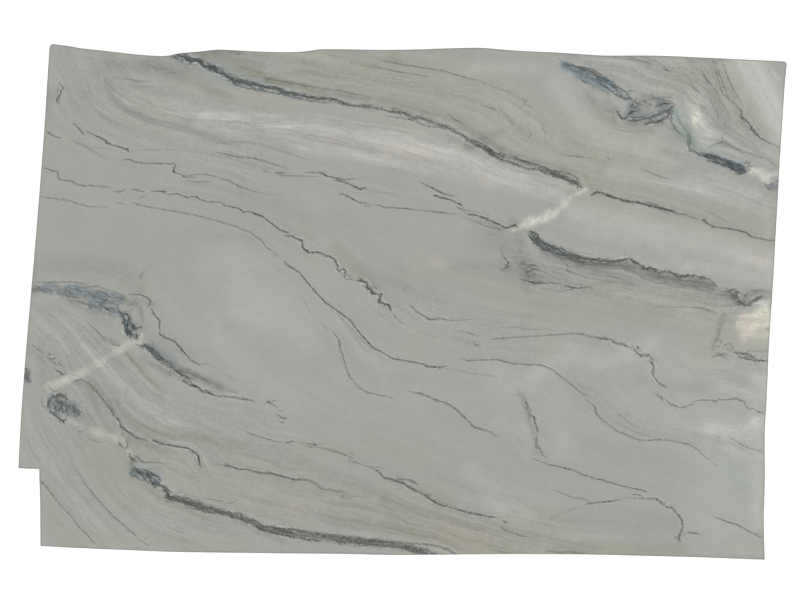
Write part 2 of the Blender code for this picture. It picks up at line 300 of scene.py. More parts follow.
    (4.4, 0.5, 1.5, ((31, 344), (43, 353, 1.2))),
    (6.0, 0.7, 1.4, ((47, 353), (51, 354.5))),
    (6.0, 0.7, 1.6, ((47, 357), (51, 358.5), (55, 358))),
    (5.6, 0.65, 1.6, ((51, 360), (57, 364.5))),
    (6.0, 0.7, 1.6, ((57, 362), (62, 366))),
    (7.0, 0.8, 1.6, ((56, 370), (59, 371, 1.1), (61, 373.5), (64, 374))),
    (14.0, 0.85, 3.0, ((25, 367), (27.5, 371), (26, 376), (28, 380), (31, 381.5, 0.7))),
    (4.4, 0.7, 1.0, ((70, 382, 0.4), (80, 379), (88, 382), (105, 402), (113, 413, 1.2), (113, 416))),
    (6, 0.8, 1.8, ((115, 416, 0.7), (118, 419), (120, 423, 0.9), (120, 426, 1.3), (136, 437, 0.8),
     (147, 440, 0.8))),
    (5.6, 0.8, 1.8, ((152, 439.5), (155, 441, 1.3), (158, 442, 0.8), (163, 443.5), (188, 448),
     (195, 452, 1.2), (198.5, 457, 1.4), (198, 460, 1.2), (201, 467, 1.1))),
    # The dark pool at the lower left.
    (18, 0.9, 3.0, ((53, 397, 0.8), (58, 395), (63, 396), (67, 399, 0.8))),
    (7.0, 0.8, 2.5, ((55, 394), (49.5, 399), (47.5, 405), (50, 411), (54.5, 415), (59, 418))),
    (8.5, 0.85, 3.0, ((58, 416), (60, 420.5), (63, 421), (66.5, 418))),
    (8.5, 0.8, 2.5, ((55, 400), (61, 403), (61, 408), (57, 411), (54, 407), (58, 403))),
    (13, 0.85, 3.0, ((65, 404, 0.7), (71, 409), (77, 410.5), (80, 415, 0.6))),
    (5.4, 0.6, 2.5, ((74, 413), (77.5, 421, 0.7))),
    (5.0, 0.7, 2.0, ((66, 410), (62, 412), (60, 408))),
    (7.0, 0.5, 3.0, ((64, 400), (66, 403))),
    (4.0, 0.45, 2.0, ((42, 395), (41, 400), (42, 406), (46, 405))),
    (4.2, 0.55, 1.5, ((47, 385), (53, 391), (57, 391.5))),
    (5.6, 0.6, 1.5, ((78, 431), (82, 432))),
    (3.6, 0.45, 1.0, ((88, 438.5), (101, 442.5))),
    (6.5, 0.6, 2.5, ((118, 441), (120, 445), (123, 447))),
    (6, 0.6, 2.5, ((124, 439), (127, 442), (128, 446), (124, 448))),
    (12, 0.9, 3.0, ((128, 454), (132, 459), (136, 461))),
    (5.0, 0.65, 1.2, ((134, 455), (138, 457), (139, 460, 1.1), (144, 461.5, 0.8), (178, 464, 0.3))),
    # The heavy lower vein: its strands from the blue pool to the lower side.
    (10.0, 1.0, 2.5, ((134, 471, 0.7), (139, 471.5), (147, 475, 1.2), (150, 477, 1.3), (150, 480),
     (153, 482.5), (157, 483), (171, 492))),
    (5.6, 0.8, 2.0, ((139, 469, 0.7), (146, 470), (160, 477, 0.8))),
    (5.0, 0.5, 2.0, ((136, 478), (141, 480, 1.1), (145, 479), (148, 482))),
    (4.4, 0.7, 1.5, ((152, 486), (156, 487), (159, 485))),
    (7.0, 0.9, 2.5, ((164, 496, 0.8), (168, 495), (167, 492, 0.8))),
    (15.5, 0.98, 3.0, ((165, 496, 0.8), (170, 498, 1.1), (175, 497.5, 1.1), (185, 499), (190, 501.5, 1.1),
     (200, 504), (202, 507), (208, 507), (244, 517, 0.9), (254, 521), (259, 526.5, 0.9), (282, 532, 0.9),
     (318, 538, 0.4), (342, 541.5, 0.75), (398, 546, 0.7), (418, 550, 0.9), (423, 552), (430, 557, 1.1))),
    (9.0, 0.8, 3.0, ((163, 489), (169, 496), (179, 500.5), (200, 507))),
    (7, 0.8, 2.5, ((184, 507, 0.6), (195, 508, 0.8), (204, 511), (224, 513.5, 0.8), (246, 521, 0.8),
     (262, 529.5, 0.8), (278, 534), (314, 540), (322, 541, 0.7))),
    (22.0, 0.42, 3.0, ((325, 537, 0.6), (345, 539), (395, 543), (424, 550, 0.6))),
    (8.0, 0.85, 2.5, ((260, 524, 0.7), (278, 528), (294, 529.5, 0.9), (318, 535, 0.7), (382, 541, 0.7),
     (430, 544, 0.6), (448, 549, 0.8), (457, 555, 0.8))),
    (10, 0.85, 3.0, ((421, 547, 0.8), (438, 555, 0.8))),
    (3.8, 0.5, 1.5, ((298, 529.5), (322, 533.5), (360, 536.5))),
    (3.8, 0.5, 1.2, ((207, 498), (224, 501))),
    (3.6, 0.35, 1.2, ((225, 503), (233, 502), (237, 500))),
    # Lower left corner.
    (4.2, 0.6, 0.8, ((39, 480), (43, 483), (61, 506), (71, 516), (80, 528), (84, 531), (92, 541),
     (96, 545, 0.6))),
    (4.2, 0.52, 0.8, ((80, 478, 0.4), (95, 496), (112, 515), (133, 533, 1.1), (136, 536, 0.6))),
    (3.8, 0.4, 0.8, ((136, 538), (150, 545.5))),
    (3.6, 0.28, 0.8, ((165, 525), (174, 530), (185, 533))),
    (3.6, 0.25, 1.0, ((184, 474), (201, 478))),
    # Lower middle.
    (4.4, 0.5, 1.2, ((244, 431, 0.7), (252, 434), (277, 441.5), (282, 441.5, 0.6))),
    (5.2, 0.9, 0.5, ((285, 441.5, 0.6), (288, 441.5, 1.1), (291, 441, 1.0), (293, 441, 0.4))),
    (4.0, 0.4, 0.8, ((292, 442), (307, 443))),
    (5.6, 0.85, 0.8, ((307, 443, 0.6), (314, 444, 1.2), (317, 444.5, 0.6))),
    (3.8, 0.5, 0.8, ((303, 445), (309, 446.5), (314, 446))),
    (4.0, 0.4, 0.8, ((318, 443), (322, 443.5))),
    (4.6, 0.6, 1.0, ((314, 446, 0.7), (330, 449.5), (352, 457))),
    (3.8, 0.4, 2.5, ((347, 453), (351, 453), (354, 455))),
    (3.8, 0.45, 2.5, ((350, 457), (348, 460), (352, 462), (356, 461))),
    (4.2, 0.5, 1.5, ((353, 461), (370, 467))),
    (3.6, 0.4, 1.2, ((368, 465.5), (384, 468))),
    (6.2, 0.78, 1.8, ((371, 467.5, 0.7), (378, 470.5), (384, 477), (403, 483, 1.1), (410, 488), (424, 494),
     (430, 499), (439, 504, 1.1), (446, 505.5, 0.8), (463, 511), (493, 517), (497, 517, 0.6))),
    (6, 0.6, 1.5, ((390, 478), (410, 479.5, 0.8), (414, 482, 1.2), (418, 484, 0.8))),
    (4.2, 0.5, 1.5, ((425, 494), (431, 494.5))),
    (9.5, 0.65, 1.0, ((502.5, 521), (506, 521.5))),
    (4.2, 0.6, 0.8, ((501, 526), (502, 528), (506, 530.5), (521, 535.5, 0.7), (529, 536.5, 0.5))),
    (4.0, 0.45, 1.0, ((210, 463.5), (222, 464.5))),
    (5.8, 0.75, 1.2, ((223, 465), (227, 465.5, 1.4), (231, 466), (235, 467.5, 1.3), (239, 469, 0.9),
     (246, 469, 0.8), (258, 472), (271, 473), (294, 479), (306, 479.5, 0.7), (311, 480.5, 0.9))),
    (4.8, 0.55, 1.8, ((311, 481), (317, 484), (319, 487), (323, 489, 0.8), (328, 489), (338, 491.5),
     (346, 491, 0.7))),
    (4.0, 0.42, 1.5, ((343, 494), (341, 498), (346, 498), (358, 495, 0.5), (372, 497, 0.4))),
    # The drooping vein and its neighbour.
    (4.6, 0.3, 1.0, ((320, 322), (328, 330.5))),
    (6.0, 0.55, 0.8, ((332, 331, 0.6), (335, 334, 0.8), (339, 342, 1.1), (339.5, 347), (348, 374, 0.8),
     (356, 385, 0.8), (367, 392, 0.9), (393, 397.5, 0.9))),
    (5.4, 0.68, 0.8, ((408, 391, 0.7), (420, 393), (439, 401), (445, 402), (455, 408), (474, 427),
     (486, 430, 0.9), (500, 437, 0.5))),
    # The dashed vein that turns down.
    (7.0, 0.35, 2.0, ((513, 393, 0.5), (519, 394.5), (523, 398))),
    (7.5, 0.5, 3.0, ((524, 400), (527, 405, 1.2), (527, 409))),
    (7.0, 0.55, 3.5, ((528, 411, 0.8), (530, 415), (534, 417, 1.2), (535, 422, 0.9), (537, 432, 1.1))),
    (6.5, 0.5, 3.5, ((536, 434, 0.6), (536, 440), (537, 445, 0.8), (535, 447), (539, 447))),
    (6.2, 0.55, 1.5, ((539, 447), (542, 455), (546, 457, 0.8))),
    (4.4, 0.68, 0.8, ((529, 457, 0.4), (543, 462.5), (570, 469), (596, 479, 0.9), (601, 479, 1.1),
     (612, 483, 0.9), (644, 490.5, 1.2), (648, 492, 0.7))),
    (4.0, 0.4, 0.8, ((550, 489, 0.6), (558, 491), (572, 497), (583, 498, 1.2), (590, 502))),
    (5.2, 0.75, 0.8, ((585, 504, 0.9), (590, 502.5, 0.8), (611, 500.5, 1.1), (622, 498.5, 0.4),
     (630, 496.5, 0.4))),
    (3.8, 0.22, 0.8, ((550, 518), (582, 505))),
    (4.0, 0.5, 0.8, ((631, 494), (638, 494), (642, 496, 1.2), (642, 499))),
    (7.0, 0.72, 1.5, ((632, 498, 0.6), (652, 498, 0.7), (657, 499), (667, 507, 0.8), (671, 507), (680, 517),
     (682, 522), (682, 527, 0.9), (678, 537), (680, 541, 0.8))),
    (5.6, 0.75, 1.5, ((674, 536), (679, 540))),
    (4.6, 0.7, 0.6, ((681, 535, 0.5), (686, 532.5, 0.6), (692, 532, 1.1), (703, 535, 0.6))),
    (4.4, 0.72, 0.8, ((711, 515, 0.5), (729, 522, 1.2), (735, 523.5), (762, 537.5))),
    (4.0, 0.33, 0.8, ((711, 434), (720, 437.5))),
    (4.2, 0.4, 0.8, ((727, 436), (748, 447.5), (760, 451), (764, 453.5))),
    (4.0, 0.3, 0.8, ((730, 442), (753, 455))),
    # Right, above the lower bedding.
    (5.5, 0.5, 1.2, ((487, 339, 0.6), (495, 338), (520, 336.5, 0.7), (575, 333), (582, 333.5),
     (592, 338, 0.8))),
    (6.6, 0.66, 2.4, ((587, 335, 0.6), (601, 338, 1.1), (611, 339), (613, 342, 1.1), (621, 343.5),
     (632, 347.5, 0.8))),
    (6.0, 0.6, 2.4, ((632, 345), (634, 350), (638, 353.5), (649, 355))),
    (6.6, 0.7, 2.4, ((636, 345), (638, 348, 1.2), (642, 349, 0.8))),
    (4.4, 0.6, 1.0, ((635, 355), (637, 352, 1.1), (641, 356), (649, 355, 1.2), (651, 359), (655, 360, 0.7))),
    (6.6, 0.75, 2.2, ((649, 360), (654, 366), (652, 370), (655, 379, 0.9), (662, 385, 0.8), (667, 387, 0.6))),
    (5.0, 0.52, 1.8, ((653, 392, 0.7), (661, 398, 1.1), (663, 401, 0.8))),
    (4.0, 0.4, 2.5, ((655, 390), (668, 402))),
    (5.2, 0.62, 1.2, ((667, 401), (670, 404), (680, 407), (685, 406.5, 0.9), (696, 402, 0.6))),
    (4.6, 0.62, 1.5, ((690, 401, 0.5), (706, 399.5, 1.1), (712, 400), (715, 401.5, 1.1), (719, 399),
     (726, 399.5, 0.8), (735, 398, 1.1), (744, 401), (745, 405, 0.8), (748, 408), (753, 408, 0.7), (757, 411),
     (765, 413, 0.8))),
    (4.0, 0.6, 0.8, ((409, 303.5, 0.8), (416, 311, 1.1), (430, 319.5, 1.2), (439, 318), (450, 320, 1.1),
     (458, 320, 0.6), (480, 318, 0.25))),
    (5.0, 0.5, 1.2, ((455, 331.5, 0.4), (464, 331, 0.6), (469, 333, 1.2), (478, 336, 0.7))),
    (5.0, 0.5, 1.2, ((473, 341), (474, 344, 1.2), (477, 345), (480, 343, 0.6))),
    (4.2, 0.25, 1.0, ((445, 368), (485, 375), (497, 376))),
    (4.0, 0.25, 1.0, ((505, 327), (520, 327), (530, 329), (552, 329))),
    # The dark line and squiggles by the cream quartz on the right.
    (6.0, 0.2, 1.5, ((724, 319), (721, 324), (718, 336, 0.8), (711, 349, 0.6))),
    (4.2, 0.55, 2.0, ((711, 358), (715, 355), (720, 355), (728, 359.5))),
    (4.0, 0.5, 2.0, ((718, 352), (727, 357))),
    (6.5, 0.5, 2.5, ((733, 352, 0.6), (744, 353.5, 1.2), (749, 354, 1.1), (753, 357))),
    (6.5, 0.85, 2.0, ((737, 356, 0.6), (742, 357), (753, 360), (769, 360, 0.9))),
    (4.0, 0.4, 1.0, ((746, 350.5), (769, 350.5))),
    (3.8, 0.15, 1.0, ((708, 369), (720, 370), (748, 368, 0.7))),
    (5, 0.35, 3.2, ((713, 341), (717, 339), (721, 341), (719, 345), (714, 347))),
    (5, 0.35, 3.2, ((724, 345), (729, 343), (733, 347), (729, 351))),
    (5.0, 0.5, 1.0, ((765, 328), (769, 330))),
    # Lower side.
    (5.5, 0.4, 1.0, ((489, 549), (512, 553))),
    (5.0, 0.45, 1.0, ((544, 550), (560, 552), (567, 551, 1.2), (584, 553))),
)

# Soft bands of the bedding: width in mm, lightness added, roughness of the course in mm, and stations.
BANDS = (
    # Upper left.
    (10, -0.15, 1.5, ((83, 70), (88, 82), (90, 92), (108, 110))),
    (40, -0.14, 4.0, ((104, 78), (112, 97), (124, 108), (150, 121), (185, 128), (208, 135), (226, 143))),
    (8, -0.12, 1.5, ((96, 112), (110, 120), (125, 126))),
    (12, -0.2, 2.0, ((72, 140), (85, 146), (105, 158))),
    (10, -0.1, 1.5, ((84, 145), (115, 150))),
    (10, -0.1, 1.5, ((120, 88), (148, 86), (175, 87))),
    (8, -0.1, 1.5, ((130, 150), (160, 149), (190, 150))),
    (8, -0.2, 1.5, ((208, 127), (215, 129))),
    (7, 0.13, 1.2, ((104, 72), (110, 90), (118, 97), (128, 103), (140, 107))),
    (8, 0.13, 1.5, ((86, 95), (92, 103), (100, 109), (112, 115))),
    (9, 0.1, 1.5, ((152, 100), (160, 108), (168, 112), (185, 116), (230, 119), (250, 118))),
    # Above the heavy vein.
    (9, -0.1, 1.5, ((240, 75), (262, 76), (365, 96))),
    (8, -0.28, 1.5, ((350, 63), (428, 76))),
    (8, -0.2, 1.5, ((383, 61), (428, 68))),
    (7, -0.3, 2.0, ((450, 117), (462, 123))),
    (8, -0.3, 2.0, ((480, 105), (500, 110), (512, 124))),
    (7, -0.28, 1.5, ((562, 154), (590, 158))),
    # Under the heavy vein.
    (7, -0.12, 1.0, ((228, 122), (262, 123), (285, 119), (300, 120))),
    (6, -0.1, 1.0, ((260, 133), (300, 134), (325, 137))),
    (10, -0.17, 1.5, ((228, 141), (255, 142), (330, 166))),
    (20, 0.12, 2.0, ((165, 112), (230, 115), (285, 114))),
    (8, 0.07, 2.0, ((226, 262), (240, 256), (272, 252))),
    (7, 0.07, 2.0, ((232, 272), (246, 265), (262, 262))),
    (7, 0.06, 2.0, ((236, 281), (248, 275), (258, 268))),
    (8, 0.05, 2.0, ((214, 288), (232, 284), (262, 270))),
    (12, 0.16, 1.5, ((300, 112), (345, 119))),
    (9, 0.12, 1.0, ((262, 127), (300, 125), (320, 126))),
    (12, 0.14, 1.5, ((350, 121), (400, 128), (428, 134))),
    (8, 0.12, 1.0, ((352, 131), (400, 133), (428, 136))),
    (8, 0.12, 1.0, ((340, 148), (368, 151))),
    (6, 0.12, 1.0, ((307, 159), (330, 167))),
    (10, 0.1, 1.0, ((408, 140), (448, 153))),
    (12, 0.13, 1.5, ((510, 173), (530, 175), (575, 188))),
    (9, 0.07, 1.0, ((500, 183), (530, 186), (560, 191))),
    (10, -0.15, 1.5, ((460, 216), (490, 224), (505, 230))),
    # The knots of the smoky vein.
    (30, -0.12, 2.5, ((650, 276), (675, 278), (695, 283), (714, 290))),
    (12, -0.25, 2.5, ((545, 248), (560, 256), (590, 263), (620, 265), (640, 268), (660, 275))),
    (30, -0.12, 3.0, ((150, 362), (182, 381))),
    (18, -0.2, 3.0, ((132, 298), (140, 308), (142, 322))),
    (14, -0.28, 2.5, ((726, 287), (735, 300), (742, 305), (750, 304), (756, 299))),
    (10, -0.12, 2.5, ((736, 289), (741, 294), (748, 296), (756, 292), (768, 291))),
    (14, -0.12, 2.0, ((724, 312), (719, 322), (718, 334), (712, 346))),
    (44, -0.13, 2.5, ((176, 369), (192, 374), (236, 392))),
    (12, -0.2, 2.0, ((516, 388), (524, 395), (528, 407), (534, 419), (538, 433))),
    # Upper right.
    (9, -0.28, 2.0, ((690, 84), (699, 92))),
    (10, -0.25, 2.0, ((664, 66), (667, 71))),
    (14, -0.2, 2.0, ((640, 94), (656, 97), (672, 97))),
    (9, -0.15, 2.0, ((610, 128), (642, 134))),
    (6, -0.18, 1.5, ((640, 168), (656, 175), (668, 178))),
    (10, -0.2, 2.0, ((604, 109), (613, 112))),
    (6, -0.14, 1.5, ((612, 114), (614, 122), (620, 128))),
    (7, -0.16, 1.5, ((714, 100), (718, 119))),
    (7, -0.16, 1.5, ((707, 92), (712, 104), (715, 116))),
    (9, 0.14, 2.0, ((670, 62), (692, 86))),
    (8, 0.14, 2.0, ((680, 66), (690, 75), (700, 88))),
    (12, 0.12, 1.5, ((712, 147), (738, 152))),
    (12, 0.12, 1.5, ((735, 153), (756, 159), (770, 166))),
    (8, 0.1, 1.5, ((580, 58), (640, 62))),
    (8, 0.14, 1.5, ((625, 92), (631, 97))),
    (10, 0.1, 1.5, ((640, 178), (680, 186), (720, 196))),
    # Lower left.
    (7, -0.08, 1.5, ((125, 365), (152, 393), (165, 398), (178, 401))),
    (8, -0.06, 1.5, ((120, 375), (132, 385), (142, 396))),
    (7, -0.05, 1.5, ((70, 330), (96, 355))),
    (8, -0.08, 1.5, ((45, 335), (74, 350))),
    (7, -0.1, 1.5, ((55, 460), (66, 485), (95, 528))),
    (7, -0.12, 1.5, ((62, 440), (75, 468), (88, 488), (105, 508))),
    (14, 0.1, 2.0, ((100, 355), (120, 380), (140, 398), (190, 424))),
    (10, 0.1, 1.5, ((90, 345), (118, 376))),
)

# Lines that the bedding follows where no vein shows its course. All run to the right or down.
FLOW = (
    ((60, 50), (66, 70), (72, 90), (84, 110), (105, 128), (140, 143), (180, 155), (230, 163), (300, 172)),
    ((84, 50), (90, 70), (100, 90), (118, 106), (150, 120), (200, 134), (240, 142), (300, 152)),
    ((105, 56), (108, 68), (116, 84), (132, 98), (160, 108), (200, 113), (240, 110), (280, 112), (340, 120)),
    ((45, 70), (52, 95), (62, 115), (85, 135), (120, 155), (160, 175)),
    ((120, 60), (150, 66), (180, 72), (210, 82), (240, 92)),
    ((240, 60), (300, 66), (360, 76), (420, 90), (470, 105), (500, 125), (520, 150)),
    ((250, 118), (330, 122), (400, 132), (450, 146), (500, 164), (560, 184)),
    ((230, 128), (300, 138), (370, 150), (430, 160), (500, 178), (560, 192)),
    ((210, 140), (280, 156), (340, 168), (420, 178), (480, 192), (540, 205)),
    ((430, 55), (500, 66), (540, 84), (556, 110), (575, 140), (620, 150), (680, 165), (730, 180), (776, 200)),
    ((520, 60), (560, 80), (575, 105), (600, 130), (640, 140), (680, 155), (720, 170)),
    ((600, 60), (650, 66), (690, 80), (712, 100), (722, 125), (740, 142), (776, 158)),
    ((560, 150), (600, 160), (650, 176), (700, 190), (740, 206), (775, 218)),
    ((740, 60), (752, 90), (764, 120), (780, 138)),
    ((40, 225), (90, 228), (150, 232), (200, 240), (240, 256), (270, 282), (295, 320), (320, 360),
     (350, 400)),
    ((38, 255), (90, 258), (150, 265), (200, 290), (240, 330), (280, 380), (330, 420), (400, 450)),
    ((330, 215), (400, 222), (450, 232), (500, 240)),
    ((360, 240), (420, 252), (470, 262), (520, 275), (600, 292), (680, 300), (720, 305)),
    ((380, 262), (420, 278), (470, 292), (540, 302), (620, 316), (700, 326)),
    ((540, 210), (620, 222), (700, 238), (770, 252)),
    ((560, 232), (640, 246), (720, 262), (768, 272)),
    ((395, 290), (415, 322), (440, 335), (490, 345), (560, 345), (600, 350), (635, 368), (655, 395),
     (700, 415), (762, 430)),
    ((420, 375), (480, 385), (510, 400), (520, 430), (528, 455), (560, 478), (620, 496)),
    ((600, 360), (630, 385), (650, 410), (690, 425), (762, 440)),
    ((560, 400), (580, 430), (620, 455), (680, 470), (760, 500)),
    ((36, 300), (62, 322), (84, 350), (104, 380), (126, 410), (160, 428), (210, 440), (260, 452)),
    ((60, 305), (84, 325), (110, 355), (135, 385), (165, 412), (215, 425), (260, 438)),
    ((30, 330), (50, 352), (70, 385), (90, 420), (110, 450), (130, 490), (165, 525), (210, 545)),
    ((26, 400), (40, 440), (62, 480), (90, 520), (115, 546)),
    ((120, 455), (160, 470), (200, 485), (260, 497), (330, 508), (420, 522), (500, 540)),
    ((300, 455), (360, 475), (420, 500), (500, 528), (600, 545), (700, 552)),
    ((150, 400), (190, 412), (240, 424), (300, 436)),
    ((205, 350), (240, 372), (280, 392), (340, 412)),
    ((690, 500), (730, 508), (762, 518)),
    ((560, 520), (620, 510), (660, 520), (700, 540), (762, 548)),
)

# Colours of the stone's parts, as sRGB hex values.
STONE = "a4a6a2"
STONE_WARM = "a8a8a1"
INK = "40423f"
PALE = "cbccc6"
SHADOW = "75776f"
OLIVE = "84866f"
SLATE = "6d7c81"
FROST = "a3acaf"
WARM = "a3a597"
FRINGE = "cad0cf"
SMOKE = "80817b"
NAVY = "46555b"
MIST = "9fabad"
LILAC = "85828c"
SAGE = "84948a"
CREAM = "e2e1d0"
QUARTZ = "d2d1c6"
ROSE = "cdbdb9"
LENS = "b7b8b1"
DRAB = "a6a698"
BUTTER = "d3cfbd"
SAND = "b5b39f"

